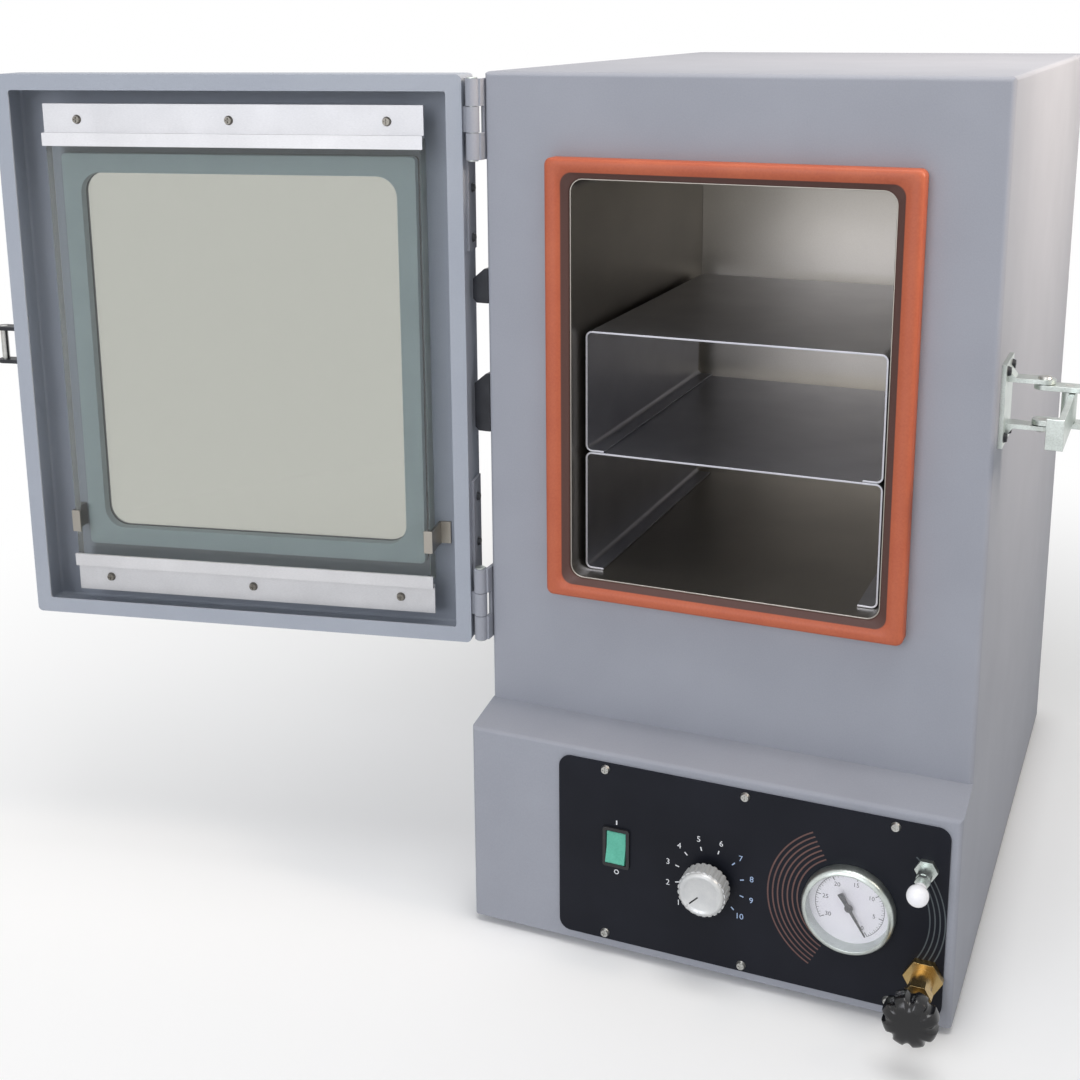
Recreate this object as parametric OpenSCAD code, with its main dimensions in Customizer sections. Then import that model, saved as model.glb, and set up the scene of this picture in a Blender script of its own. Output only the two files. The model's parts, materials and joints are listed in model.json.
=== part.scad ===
/* [Chamber] */
// Width inside the chamber
chamber_w = 230; // [200:2:260]
// Height inside the chamber
chamber_h = 297; // [270:1:330]
// Depth inside the chamber
chamber_d = 305; // [270:5:350]
// Radius of the chamber's inside corners
chamber_r = 9; // [7:0.5:12]
// Thickness of the chamber's wall
chamber_t = 3; // [2:0.5:4]
// How far the chamber's mouth stands out of the casing
rim_out = 6; // [4:0.5:8]
// Thickness of the heater pads
heater_t = 2; // [1:0.5:3]
// Thickness of the insulation behind the chamber
wool_back = 77; // [60:1:90]
// How far the gasket covers the casing beside the chamber
gasket_side = 15.5; // [12:0.5:18]
// How far the gasket covers the casing above and below the chamber
gasket_end = 12.5; // [11:0.5:15]
// How far the gasket stands out of the casing
gasket_t = 13; // [11:0.5:15]

/* [Cabinet] */
// Space between the chamber and the side of the casing
side_space = 70; // [64:1:85]
// Space between the chamber and the top of the casing
top_space = 74.5; // [73:0.5:90]
// Space between the chamber and the bottom of the casing
bottom_space = 114.5; // [100:0.5:130]
// Space between the chamber and the back of the casing
back_space = 195; // [180:5:230]
// Height of the base's front face
base_h = 160; // [156:2:190]
// How far the base stands out in front of the casing
base_step = 40; // [30:2:60]
// Rise of the sloping ledge from its front edge to the casing
ledge_rise = 8; // [4:1:16]
// Thickness of the sheet steel
sheet_t = 1.5; // [1:0.1:2]
// Outside radius of the bent sheet edges
edge_r = 4; // [3:0.5:6]
// Width of the flanges that carry the rear covers
flange_w = 14; // [12:1:20]

/* [Feet] */
// Height of a rubber foot
foot_h = 6; // [4:1:12]
// Diameter of a rubber foot
foot_d = 30; // [24:1:40]
// Distance of a foot's centre from the side of the base
foot_in_x = 35; // [25:1:60]
// Distance of a foot's centre from the front or back of the base
foot_in_y = 40; // [25:1:60]
// Diameter of the hole down each foot
foot_hole_d = 5.5; // [4.5:0.1:6.5]

/* [Shelves] */
// Gap between a shelf and the side of the chamber
shelf_side_gap = 4; // [3:0.5:6]
// Gap between a shelf and the back of the chamber
shelf_back_gap = 23; // [15:1:60]
// Height of a shelf
shelf_h = 92; // [80:1:100]
// Thickness of the shelf sheet
shelf_t = 1.5; // [1:0.1:2]
// Width of the feet bent inwards under a shelf
shelf_foot = 13; // [8:1:20]
// How far the shelves stand behind the casing's face
shelf_inset = 12; // [8:1:20]
// Gap under a shelf
shelf_gap = 0.3; // [0.2:0.1:0.5]

/* [Door] */
// Height of the door's centre above the chamber's
door_rise = 3; // [1:0.5:3]
// How far the door's edge stands inside the latch side of the casing
door_short = 0.2; // [0.2:0.1:2]
// Depth of the door pan
door_d = 38; // [36:0.5:46]
// Gap between the closed door's rim and the casing
door_gap = 3; // [2:0.5:4]
// Width of the rim folded round the door's inside
door_rim = 12; // [9:1:14]
// Width of the door above and below the glass
door_end = 44; // [42:0.5:50]
// How far the glass covers beyond the gasket's sides
glass_side = 16.5; // [14:0.5:18]
// How far the glass covers beyond the gasket's top and bottom
glass_end = 10; // [9:0.5:12]
// Thickness of the door glass
glass_t = 15; // [12:0.5:16]
// How far the window's sides lie inside the glass's
window_side = 22; // [19:0.5:30]
// How far the window's top and bottom lie inside the glass's
window_end = 29; // [26:0.5:40]
// Radius of the window's corners
window_r = 16; // [8:1:24]
// Thickness of the outer window shield
shield_t = 3; // [2:0.5:4]
// Width of the pad frame between glass and shield
pad_w = 15; // [10:1:16]
// Angle by which the door stands open
door_open = 168; // [90:1:175]

/* [Glass retainers] */
// How far a retainer reaches beyond the side of the glass
retainer_over = 2; // [0:0.5:4]
// Height of a retainer's screwed flange
retainer_flange = 24; // [20:1:26]
// Width of a retainer's lip on the glass
retainer_lip = 10; // [8:0.5:10]
// Thickness of the retainer sheet
retainer_t = 2; // [1.5:0.5:3]
// Step from the glass's face back to the flange
retainer_step = 3; // [2:0.5:5]
// Distance of the outer screws from a retainer's ends
retainer_screw_in = 28; // [16:1:40]

/* [Hinges] */
// Distance of the hinge axis from the casing's side
hinge_out = 6.5; // [6:0.5:9]
// Distance of the hinge axis in front of the casing's face
hinge_fwd = 6; // [5.5:0.5:8]
// Radius of a hinge knuckle
knuckle_r = 5; // [4.5:0.1:5.2]
// Radius of a hinge pin
hinge_pin_r = 3; // [2:0.1:3.5]
// Length of a hinge
hinge_len = 58; // [48:1:70]
// Length of the leaf on the door
door_leaf_len = 126; // [124:1:136]
// Width of the leaf on the casing
leaf_w = 28; // [22:1:40]
// Thickness of the hinge leaves
leaf_t = 2.5; // [2:0.1:3]
// Distance of the hinges from the ends of the door
hinge_inset = 3; // [2:1:12]

/* [Latch] */
// Height of the latch above the chamber's centre
latch_rise = 6; // [-10:1:20]
// Distance of the lever's pivot from the casing's side
lever_out = 26; // [22:0.5:30]
// Distance of the lever's pivot behind the casing's face
lever_back = 35; // [32:1:60]
// Length of the lever from its pivot
lever_len = 64; // [56:1:90]
// Distance of the hook's pivot from the lever's pivot
throw = 16; // [14:0.5:17]
// Height of the hook
hook_h = 20; // [14:1:22]
// Thickness of the hook
hook_t = 4; // [3:0.5:5]
// Angle that the lever turns from rest to shut
lever_shut = 100; // [96:1:104]
// Radius of the pin that the hook catches
catch_r = 3; // [2.5:0.5:3.5]

/* [Control panel] */
// Margin of the base above and below the panel
panel_margin = 7; // [5:0.5:8]
// Margin of the base left of the panel
panel_left = 74; // [60:1:78]
// Margin of the base right of the panel
panel_right = 7; // [6:0.5:8]
// Thickness of the control panel
panel_t = 2; // [1.5:0.5:3]
// Radius of the panel's corners
panel_r = 9; // [5:1:14]
// Distance of the outer screws from the panel's ends
panel_screw_in = 37.5; // [34:0.5:40]
// Distance of the switch from the right side of the base
switch_in = 249.5; // [240:0.5:252]
// Distance of the thermostat from the right side of the base
knob_in = 177; // [165:1:190]
// Distance of the gauge from the right side of the base
gauge_in = 74; // [70:1:80]
// Distance of the vent valve from the right side of the base
vent_in = 22; // [20:0.5:24]
// Distance of the vacuum valve from the right side of the base
valve_in = 20; // [20:0.5:24]
// Height of both valves above and below the panel's centre
valve_spread = 41; // [40:1:46]

/* [Thermostat and switch] */
// Diameter of the temperature knob
knob_d = 36; // [30:1:44]
// Height of the temperature knob
knob_h = 15; // [12:1:20]
// Radius of the thermostat's shaft
shaft_r = 3; // [2.5:0.1:4]
// Width of the rocker
rocker_w = 15; // [12:1:18]
// Height of the rocker
rocker_h = 26; // [20:1:30]
// Tilt of the rocker either way
rocker_tilt = 9; // [6:1:12]

/* [Gauge] */
// Outer diameter of the gauge's bezel
gauge_d = 66; // [56:1:68]
// How far the bezel stands out of the panel
gauge_out = 10; // [8:1:14]
// Depth of the gauge's case behind the panel
gauge_back = 34; // [25:1:45]
// Angle of the needle at rest, below the horizontal
needle_rest = 58; // [30:1:80]

/* [Valves] */
// Diameter of the vacuum valve's knob
valve_knob_d = 38; // [32:1:38]
// Distance of the vacuum knob's face from the panel
valve_reach = 62; // [54:1:70]
// Diameter of the vent valve's ball
vent_ball_d = 15; // [12:1:18]
// Distance of the vent ball's centre from the panel
vent_reach = 36; // [30:1:44]
// Radius of the copper tubes
tube_r = 4; // [3:0.5:5]
// Radius of the hose stub at the back
stub_r = 4.75; // [4:0.05:6]
// Length of the hose stub at the back
stub_len = 22; // [16:1:30]

/* [Hidden] */
$fn = 48;

// Colours of the finishes
paint = [0.62, 0.63, 0.67];
steel = [0.75, 0.76, 0.78];
stainless = [0.66, 0.66, 0.64];
dark_steel = [0.22, 0.22, 0.23];
aluminium = [0.86, 0.86, 0.86];
silicone = [0.82, 0.38, 0.26];
black = [0.08, 0.08, 0.09];
brass = [0.80, 0.64, 0.32];
copper = [0.78, 0.50, 0.36];

// Running clearance of a shaft in its bore, and play between parts that pass
bore_clear = 0.05;
play = 0.5;
// Clearance round parts that are pushed into place by hand
slip = 0.3;

// Planes of the cabinet: the bench is z = 0, the feet's centre is the origin
body_w = chamber_w + 2 * side_space;
body_d = chamber_d + back_space;
body_h = chamber_h + top_space + bottom_space;
face_y = base_step / 2 - body_d / 2;
base_y = face_y - base_step;
rear_y = face_y + body_d;
side_x = body_w / 2;
ledge_z = foot_h + base_h;
body_z = ledge_z + ledge_rise;
top_z = body_z + body_h;
chamber_z = body_z + bottom_space + chamber_h / 2;
liner_w = chamber_w + 2 * chamber_t;
liner_h = chamber_h + 2 * chamber_t;
liner_r = chamber_r + chamber_t;
chamber_floor_z = chamber_z - chamber_h / 2;
chamber_back_y = face_y + chamber_d + chamber_t;
insulated_d = chamber_d + chamber_t + wool_back;
gasket_w = liner_w + 2 * gasket_side;
gasket_h = liner_h + 2 * gasket_end;
shelf_w = chamber_w - 2 * shelf_side_gap;
shelf_d = chamber_d - shelf_inset - shelf_back_gap;
shelf_bend = chamber_r - shelf_side_gap;

// Door planes, with the door shut
hinge_x = -side_x - hinge_out;
hinge_y = face_y - hinge_fwd;
leaf_gap = 0.8;
door_x0 = -side_x + leaf_gap;
door_x1 = side_x - door_short;
door_w = door_x1 - door_x0;
door_cx = door_x0 + door_w / 2;
rim_y = face_y - door_gap;
door_y = rim_y - door_d;
glass_gap = 0.4;
glass_y = face_y - gasket_t - glass_gap;
pad_y = door_y + sheet_t + shield_t;
pad_t = glass_y - glass_t - pad_y;
door_z = chamber_z + door_rise;
glass_w = gasket_w + 2 * glass_side;
glass_h = gasket_h + 2 * glass_end;
door_h = glass_h + 2 * door_end;
window_w = glass_w - 2 * window_side;
window_h = glass_h - 2 * window_end;
retainer_w = glass_w + 2 * retainer_over;
retainer_pitch = retainer_w / 2 - retainer_screw_in;
latch_z = chamber_z + latch_rise;

// Control panel
panel_w = body_w - panel_left - panel_right;
panel_h = base_h - 2 * panel_margin;
panel_x = (panel_left - panel_right) / 2;
panel_z = foot_h + base_h / 2;
panel_y = base_y - panel_t;
panel_pitch = panel_w / 2 - panel_screw_in;
panel_lap = 10;
panel_side_lap = 4;
panel_edge = 5;
knob_x = side_x - knob_in;
knob_z = panel_z - 5;
switch_x = side_x - switch_in;
switch_z = panel_z + 6;
gauge_x = side_x - gauge_in;
gauge_z = panel_z - 1;
vent_x = side_x - vent_in;
vent_z = panel_z + valve_spread;
valve_x = side_x - valve_in;
valve_z = panel_z - valve_spread;

// ---------------------------------------------------------------- helpers

// Rectangle from the origin, each corner with its own radius:
// lower left, lower right, upper right, upper left
module corner_rect(w, h, r) {
    right = [0, 1, 1, 0];
    upper = [0, 0, 1, 1];
    difference() {
        square([w, h]);
        for (i = [0:3]) if (r[i] > 0)
            translate([right[i] * (w - r[i]), upper[i] * (h - r[i])]) square(r[i]);
    }
    for (i = [0:3]) if (r[i] > 0)
        translate([right[i] * (w - 2 * r[i]) + r[i], upper[i] * (h - 2 * r[i]) + r[i]]) circle(r[i]);
}

// Rectangle centred on the origin, all corners alike
module round_rect(w, h, r) translate([-w / 2, -h / 2]) corner_rect(w, h, [r, r, r, r]);

// Extrusion that stands up: the outline lies in x and z, and y runs back from 0 to t
module upright(t) translate([0, t, 0]) rotate([90, 0, 0]) linear_extrude(t) children();

// Extrusion across the width: the outline lies in y and z, x runs from -w / 2 to w / 2
module across(w) translate([-w / 2, 0, 0]) rotate([90, 0, 90]) linear_extrude(w) children();

// Box with rounded front and top edges: front at y = 0, bottom at z = 0, centred in x
module soft_box(w, d, h, r) intersection() {
    translate([-w / 2, 0, 0]) linear_extrude(h) corner_rect(w, d, [r, r, 0, 0]);
    upright(d) translate([-w / 2, 0]) corner_rect(w, h, [0, 0, r, r]);
    across(w) corner_rect(d, h, [0, 0, 0, r]);
}

// Pan with every edge of its closed side rounded: closed side at y = 0, centred in x and z
module soft_pan(w, d, h, r) intersection() {
    translate([-w / 2, 0, -h / 2]) linear_extrude(h) corner_rect(w, d, [r, r, 0, 0]);
    upright(d) round_rect(w, h, r);
    translate([0, 0, -h / 2]) across(w) corner_rect(d, h, [r, 0, 0, r]);
}

// Rod from the origin along -y, towards the user
module rod(r, length) rotate([90, 0, 0]) cylinder(r = r, h = length);

// Hexagon of the given width across flats, from the origin along -y
module hexagon(flats, length) rotate([90, 0, 0]) cylinder(d = flats / cos(30), h = length, $fn = 6);

// Turned part from the origin along -y: the outline is radius against length
module turned(outline) rotate([90, 0, 0]) rotate_extrude() polygon(outline);

// Domed screw along +z with its head's underside at z = 0
screw_r = 2;
screw_head_r = 3.6;
screw_head_h = 2.2;
screw_len = 4;
module screw() {
    translate([0, 0, -screw_len]) cylinder(r = screw_r, h = screw_len);
    difference() {
        cylinder(r1 = screw_head_r, r2 = screw_head_r * 0.75, h = screw_head_h);
        for (a = [0, 90]) rotate(a) translate([-2, -0.4, screw_head_h - 1]) cube([4, 0.8, 2]);
    }
}

// Direction from one point to the next
function heading(points, i) = (points[i + 1] - points[i]) / norm(points[i + 1] - points[i]);

// Bent tube along points joined by square corners: straight lengths, and a quarter bend at each corner
module tube(points, r, bend) {
    last = len(points) - 2;
    for (i = [0:last]) {
        way = heading(points, i);
        start = points[i] + (i > 0 ? bend * way : [0, 0, 0]);
        end = points[i + 1] - (i < last ? bend * way : [0, 0, 0]);
        translate(start) rotate([0, acos(way[2]), atan2(way[1], way[0])])
            cylinder(r = r, h = norm(end - start));
    }
    if (last > 0) for (i = [1:last]) {
        in = heading(points, i - 1);
        out = heading(points, i);
        up = cross(-out, in);
        centre = points[i] + bend * (out - in);
        multmatrix([[-out[0], in[0], up[0], centre[0]], [-out[1], in[1], up[1], centre[1]],
            [-out[2], in[2], up[2], centre[2]], [0, 0, 0, 1]])
            rotate_extrude(angle = 90) translate([bend, 0]) circle(r);
    }
}

// Turns its children from the shut door to the door at rest
module at_door() translate([hinge_x, hinge_y, 0]) rotate([0, 0, -door_open])
    translate([-hinge_x, -hinge_y, 0]) children();

// ---------------------------------------------------------------- cabinet

hinge_zs = [door_z + door_h / 2 - hinge_inset - hinge_len, door_z - door_h / 2 + hinge_inset];
door_leaf_zs = [door_z + door_h / 2 - hinge_inset - door_leaf_len, door_z - door_h / 2 + hinge_inset];
hinge_screw_y = face_y + leaf_w - 8;
latch_plate_h = 58;
latch_plate_w = 40;
latch_plate_t = 3;
latch_screw_dy = 12;
latch_screw_dz = 23;
lever_x = side_x + lever_out;
lever_y = face_y + lever_back;
stop_hs = [26, 45];
stop_clear = [13, 40];
stop_zs = [door_leaf_zs[0] - stop_clear[0] - stop_hs[0], door_leaf_zs[1] + door_leaf_len + stop_clear[1]];
stop_out = 12.5;
stop_y = face_y + 2;
stop_d = 20;
stop_t = 3;

module side_screw_places(side) {
    if (side < 0) {
        for (z = hinge_zs, k = [0.2, 0.8])
            translate([-side_x - leaf_t, hinge_screw_y, z + k * hinge_len]) children();
        for (i = [0, 1])
            translate([-side_x - stop_t, stop_y + stop_d - 7, stop_zs[i] + stop_hs[i] / 2]) children();
    } else for (y = [-1, 1], z = [-1, 1])
        translate([side_x + latch_plate_t, lever_y + y * latch_screw_dy, latch_z + z * latch_screw_dz])
            children();
}

module rear_flange_opening(w, h, z) translate([-w / 2 + flange_w, rear_y - 2 * sheet_t, z + flange_w])
    cube([w - 2 * flange_w, 3 * sheet_t, h - 2 * flange_w]);

module cabinet_shell() color(paint) difference() {
    translate([0, face_y, body_z]) soft_box(body_w, body_d, body_h, edge_r);
    translate([0, face_y + sheet_t, body_z - 1])
        soft_box(body_w - 2 * sheet_t, body_d - 2 * sheet_t, body_h - sheet_t + 1, edge_r - sheet_t);
    rear_flange_opening(body_w, body_h, body_z);
    translate([0, face_y - 1, chamber_z]) upright(sheet_t + 2)
        round_rect(liner_w + 2 * slip, liner_h + 2 * slip, liner_r + slip);
    side_screw_places(-1) rotate([0, 90, 0]) cylinder(r = screw_r, h = 8);
    side_screw_places(1) rotate([0, -90, 0]) cylinder(r = screw_r, h = 8);
    rear_screw_places() rod(screw_r, 6);
}

rear_cover_edge = 1;
rear_screw_in = 8;

module rear_screw_places() for (x = [-1, 1]) {
    for (z = [body_z + 30, body_z + body_h / 2, top_z - 30])
        translate([x * (side_x - rear_screw_in), rear_y + sheet_t, z]) children();
    for (z = [foot_h + 30, ledge_z - 30])
        translate([x * (side_x - rear_screw_in), rear_y + sheet_t, z]) children();
}

module rear_cover() color(paint) difference() {
    translate([0, rear_y, body_z + body_h / 2]) upright(sheet_t)
        round_rect(body_w - 2 * rear_cover_edge, body_h - 2 * rear_cover_edge, edge_r);
    rear_screw_places() rod(screw_r, 6);
}

// Slope of the ledge, and the centre of its rounded front edge
ledge_slope = atan(ledge_rise / base_step);
ledge_centre = [edge_r, ledge_z - foot_h + edge_r * tan(ledge_slope) - edge_r / cos(ledge_slope)];

// Side outline of the base from its front (x) and bottom (y), drawn inwards by the inset
module base_outline(inset) {
    r = edge_r - inset;
    tangent = ledge_centre + r * [-sin(ledge_slope), cos(ledge_slope)];
    corner = [inset, base_h + inset * tan(ledge_slope) - inset / cos(ledge_slope)];
    difference() {
        polygon([
            [inset, 0], corner,
            [base_step + inset * tan(ledge_slope / 2), base_h + ledge_rise - inset],
            [base_step + body_d - inset, base_h + ledge_rise - inset],
            [base_step + body_d - inset, 0]]);
        difference() {
            polygon([[inset, ledge_centre[1]], [inset - 1, base_h], [inset - 1, base_h + 1],
                tangent, ledge_centre]);
            translate(ledge_centre) circle(r);
        }
    }
}

deck_hole = [210, 66];

module base_housing() color(paint) difference() {
    intersection() {
        translate([0, base_y, foot_h]) across(body_w) base_outline(0);
        translate([-side_x, base_y, 0]) linear_extrude(body_z + 1)
            corner_rect(body_w, base_step + body_d, [edge_r, edge_r, 0, 0]);
    }
    intersection() {
        translate([0, base_y, foot_h - 0.01]) across(body_w - 2 * sheet_t) base_outline(sheet_t);
        translate([-side_x + sheet_t, base_y + sheet_t, 0]) linear_extrude(body_z + 1)
            corner_rect(body_w - 2 * sheet_t, base_step + body_d - 2 * sheet_t,
                [edge_r - sheet_t, edge_r - sheet_t, 0, 0]);
    }
    rear_flange_opening(body_w, base_h + ledge_rise, foot_h);
    translate([panel_x, base_y - 1, panel_z]) upright(sheet_t + 2)
        round_rect(panel_w - 2 * panel_side_lap, panel_h - 2 * panel_lap, panel_r);
    translate([-deck_hole[0] / 2, rear_y - 20 - deck_hole[1], body_z - 2 * sheet_t])
        cube([deck_hole[0], deck_hole[1], 3 * sheet_t]);
    panel_screw_places() rotate([-90, 0, 0]) cylinder(r = screw_r, h = 8);
    rear_screw_places() rod(screw_r, 6);
}

stem_r = 5.5;
floor_slot = [6, 80];
floor_slot_pitch = 24;
floor_slot_y = 90;

module foot_places() for (x = [-1, 1], y = [-1, 1])
    translate([x * (side_x - foot_in_x), y * (rear_y - foot_in_y), 0]) children();

module base_floor() color(paint) difference() {
    translate([-side_x + sheet_t, base_y + sheet_t, foot_h]) linear_extrude(sheet_t)
        corner_rect(body_w - 2 * sheet_t, base_step + body_d - 2 * sheet_t,
            [edge_r - sheet_t, edge_r - sheet_t, 0, 0]);
    foot_places() translate([0, 0, foot_h - 1]) cylinder(r = stem_r, h = sheet_t + 2);
    for (i = [-3:3], y = [-1, 1]) translate([i * floor_slot_pitch, y * floor_slot_y, foot_h + sheet_t / 2])
        cube([floor_slot[0], floor_slot[1], sheet_t + 2], center = true);
}

module rubber_feet() color(black) foot_places() difference() {
    union() {
        cylinder(r1 = foot_d / 2 - 2, r2 = foot_d / 2, h = foot_h);
        cylinder(r = stem_r, h = foot_h + sheet_t);
        translate([0, 0, foot_h + sheet_t]) cylinder(r1 = stem_r + 1, r2 = stem_r - 1, h = 3);
    }
    translate([0, 0, -1]) cylinder(d = foot_hole_d, h = foot_h + sheet_t + 5);
}

louvre_w = 110;
louvre_pitch = 14;
louvre_up = 46;
inlet_x = -side_x + 55;
inlet_z = foot_h + 62;
inlet_w = 27.4;
inlet_h = 20.4;
fuse_x = inlet_x;
fuse_z = foot_h + 112;
fuse_r = 6.2;
port_x = side_x - 65;
port_z = foot_h + 80;

module base_rear_panel() color(paint) difference() {
    translate([0, rear_y, foot_h + (base_h + ledge_rise) / 2]) upright(sheet_t)
        round_rect(body_w - 2 * rear_cover_edge, base_h + ledge_rise - 2 * rear_cover_edge, edge_r);
    rear_screw_places() rod(screw_r, 6);
    for (i = [0:5]) translate([0, rear_y - 1, foot_h + louvre_up + i * louvre_pitch]) upright(sheet_t + 2)
        round_rect(louvre_w, 5, 2.4);
    translate([inlet_x, rear_y - 1, inlet_z]) upright(sheet_t + 2)
        square([inlet_w, inlet_h], center = true);
    translate([fuse_x, rear_y + sheet_t + 1, fuse_z]) rod(fuse_r, sheet_t + 2);
    translate([port_x, rear_y + sheet_t + 1, port_z]) rod(stub_r, sheet_t + 2);
}

module rear_screws() color(steel) rear_screw_places() rotate([-90, 0, 0]) screw();

// ---------------------------------------------------------------- chamber

module liner_block(grow, y0, y1) translate([0, y0, chamber_z]) upright(y1 - y0)
    round_rect(liner_w + 2 * grow, liner_h + 2 * grow, liner_r + grow);

chamber_port_x = chamber_w / 2 - 45;
chamber_port_z = chamber_z - 90;

module chamber_liner() color(stainless) difference() {
    liner_block(0, face_y - rim_out, chamber_back_y);
    liner_block(-chamber_t, face_y - rim_out - 1, face_y + chamber_d);
    for (x = [-1, 1]) translate([x * chamber_port_x, chamber_back_y + 1, chamber_port_z])
        rod(tube_r, chamber_t + 2);
}

heater_inset = 30;

module heater_pads() color(silicone) difference() {
    liner_block(heater_t, face_y + heater_inset, chamber_back_y - heater_inset);
    liner_block(0, face_y, chamber_back_y);
    for (x = [-1, 1], z = [-1, 1])
        translate([x * liner_w / 2, 0, chamber_z + z * liner_h / 2])
            cube([3 * liner_r, 2 * body_d, 3 * liner_r], center = true);
}

module insulation() color("khaki") difference() {
    translate([0, face_y + sheet_t, body_z])
        soft_box(body_w - 2 * sheet_t, insulated_d, body_h - sheet_t, edge_r);
    liner_block(heater_t, face_y, chamber_back_y);
    for (x = [-1, 1]) translate([x * chamber_port_x, rear_y, chamber_port_z]) rod(tube_r, body_d / 2);
    sensor_line_grown(slip);
}

gasket_lip = 1;
gasket_r = 5;
gasket_in = chamber_t + gasket_lip - 2;
gasket_slope = gasket_side / 2;
gasket_slope_d = gasket_t - rim_out - gasket_lip;

// How far the funnel reaches beyond the chamber's outline at a depth behind the gasket's front
function funnel_out(depth) = gasket_slope - gasket_in - depth * gasket_slope / gasket_slope_d;
function funnel_half(half, depth) = half + funnel_out(depth);

// Mitred funnel into the chamber: two tapered bars that cross
module gasket_funnel() translate([0, face_y - gasket_t, chamber_z]) intersection() {
    near = -1;
    far = gasket_slope_d + 1;
    translate([0, 0, -liner_h]) linear_extrude(2 * liner_h) polygon([
        [-funnel_half(liner_w / 2, near), near], [funnel_half(liner_w / 2, near), near],
        [funnel_half(liner_w / 2, far), far], [-funnel_half(liner_w / 2, far), far]]);
    across(2 * liner_w) polygon([
        [near, -funnel_half(liner_h / 2, near)], [far, -funnel_half(liner_h / 2, far)],
        [far, funnel_half(liner_h / 2, far)], [near, funnel_half(liner_h / 2, near)]]);
}

// Frame that the glass shuts on: it grips the liner's rim, and its inner lip slopes into the chamber
module door_gasket() color(silicone) difference() {
    translate([0, face_y - gasket_t, chamber_z]) upright(gasket_t) round_rect(gasket_w, gasket_h, gasket_r);
    liner_block(0, face_y - rim_out, face_y + 1);
    liner_block(-gasket_in, face_y - gasket_t - 1, face_y + 1);
    gasket_funnel();
}

module bench() translate([-shelf_w / 2, 0, 0]) upright(shelf_d) difference() {
    outer = shelf_bend;
    inner = shelf_bend - shelf_t;
    corner_rect(shelf_w, shelf_h, [outer, outer, outer, outer]);
    translate([shelf_t, shelf_t])
        corner_rect(shelf_w - 2 * shelf_t, shelf_h - 2 * shelf_t, [inner, inner, inner, inner]);
    translate([shelf_t + shelf_foot, -1]) square([shelf_w - 2 * shelf_t - 2 * shelf_foot, shelf_t + 2]);
}

shelf_z = chamber_floor_z + shelf_gap;

module lower_shelf() color(aluminium) translate([0, face_y + shelf_inset, shelf_z]) bench();

module upper_shelf() color(aluminium)
    translate([0, face_y + shelf_inset, shelf_z + shelf_h + shelf_gap]) bench();

// ---------------------------------------------------------------- control panel

module panel_screw_places() for (i = [-1:1], z = [-1, 1])
    translate([panel_x + i * panel_pitch, panel_y, panel_z + z * (panel_h / 2 - panel_edge)]) children();

bush_r = 5;
nut_r = 7;
valve_bush_r = 8;
vent_bush_r = 5;
switch_rim = 2;
switch_w = rocker_w + 2 * play + 2;
switch_h = rocker_h + 2 * play + 2;

module control_panel() color(black) difference() {
    translate([panel_x, panel_y, panel_z]) upright(panel_t) round_rect(panel_w, panel_h, panel_r);
    panel_screw_places() rotate([-90, 0, 0]) cylinder(r = screw_r, h = 8);
    translate([knob_x, base_y + 1, knob_z]) rod(bush_r, panel_t + 2);
    translate([gauge_x, base_y + 1, gauge_z]) rod(gauge_d / 2 - 3, panel_t + 2);
    translate([vent_x, base_y + 1, vent_z]) rod(vent_bush_r, panel_t + 2);
    translate([valve_x, base_y + 1, valve_z]) rod(valve_bush_r, panel_t + 2);
    translate([switch_x, panel_y - 1, switch_z]) upright(panel_t + 2)
        square([switch_w, switch_h], center = true);
}

module panel_screws() color(steel) panel_screw_places() rotate([90, 0, 0]) screw();

// Thermostat: its body hangs on the panel by a threaded bush and a nut
thermo_body = [44, 30, 38];
bush_out = 6;
bulb_r = 4;
bulb_len = 90;
bulb_z = chamber_z + 60;

module thermostat() color(steel) translate([knob_x, base_y, knob_z]) difference() {
    union() {
        translate([-thermo_body[0] / 2, 0, -thermo_body[2] / 2]) cube(thermo_body);
        rod(bush_r, panel_t + bush_out);
        translate([0, -panel_t, 0]) hexagon(2 * nut_r, 2.5);
    }
    translate([0, 20, 0]) rod(shaft_r + bore_clear, 40);
}

module thermostat_shaft() color(steel) translate([knob_x, base_y + 18, knob_z])
    rod(shaft_r, 18 + panel_t + knob_gap + knob_h - 4);

knob_gap = bush_out + 1;
knob_flutes = 24;
knob_rest = -135;

module temperature_knob() color([0.85, 0.86, 0.88])
    translate([knob_x, panel_y - knob_gap, knob_z]) rotate([0, knob_rest, 0]) difference() {
        r = knob_d / 2;
        union() {
            rotate([90, 0, 0]) linear_extrude(knob_h - 3) difference() {
                circle(r);
                for (i = [0:knob_flutes - 1]) rotate(i * 360 / knob_flutes)
                    translate([r + 0.6, 0]) circle(1.4);
            }
            translate([0, 3 - knob_h, 0]) turned([[0, 0], [r - 0.8, 0], [r - 1.5, 1.8],
                [r - 3, 3], [r - 4, 3], [r - 6, 1.8], [0, 1.8]]);
        }
        translate([0, 1, 0]) rod(shaft_r, knob_h - 3);
        translate([-0.6, -knob_h - 1, r - 9]) cube([1.2, 2, 12]);
    }

// Switch: a framed body with the rocker on two trunnions
switch_depth = 24;
rocker_drop = 9;
trunnion_r = 1.4;

module switch_body() color(black) translate([switch_x, panel_y, switch_z]) difference() {
    union() {
        translate([0, -switch_rim, 0]) upright(switch_rim)
            round_rect(switch_w + 3, switch_h + 3, 2);
        upright(switch_depth) square([switch_w, switch_h], center = true);
    }
    translate([0, -switch_rim - 1, 0]) upright(switch_rim + rocker_drop + 2)
        square([rocker_w + 2 * play, rocker_h + 2 * play], center = true);
    translate([-switch_w, 2, 0]) rotate([0, 90, 0]) cylinder(r = trunnion_r + bore_clear, h = 2 * switch_w);
}

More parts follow.
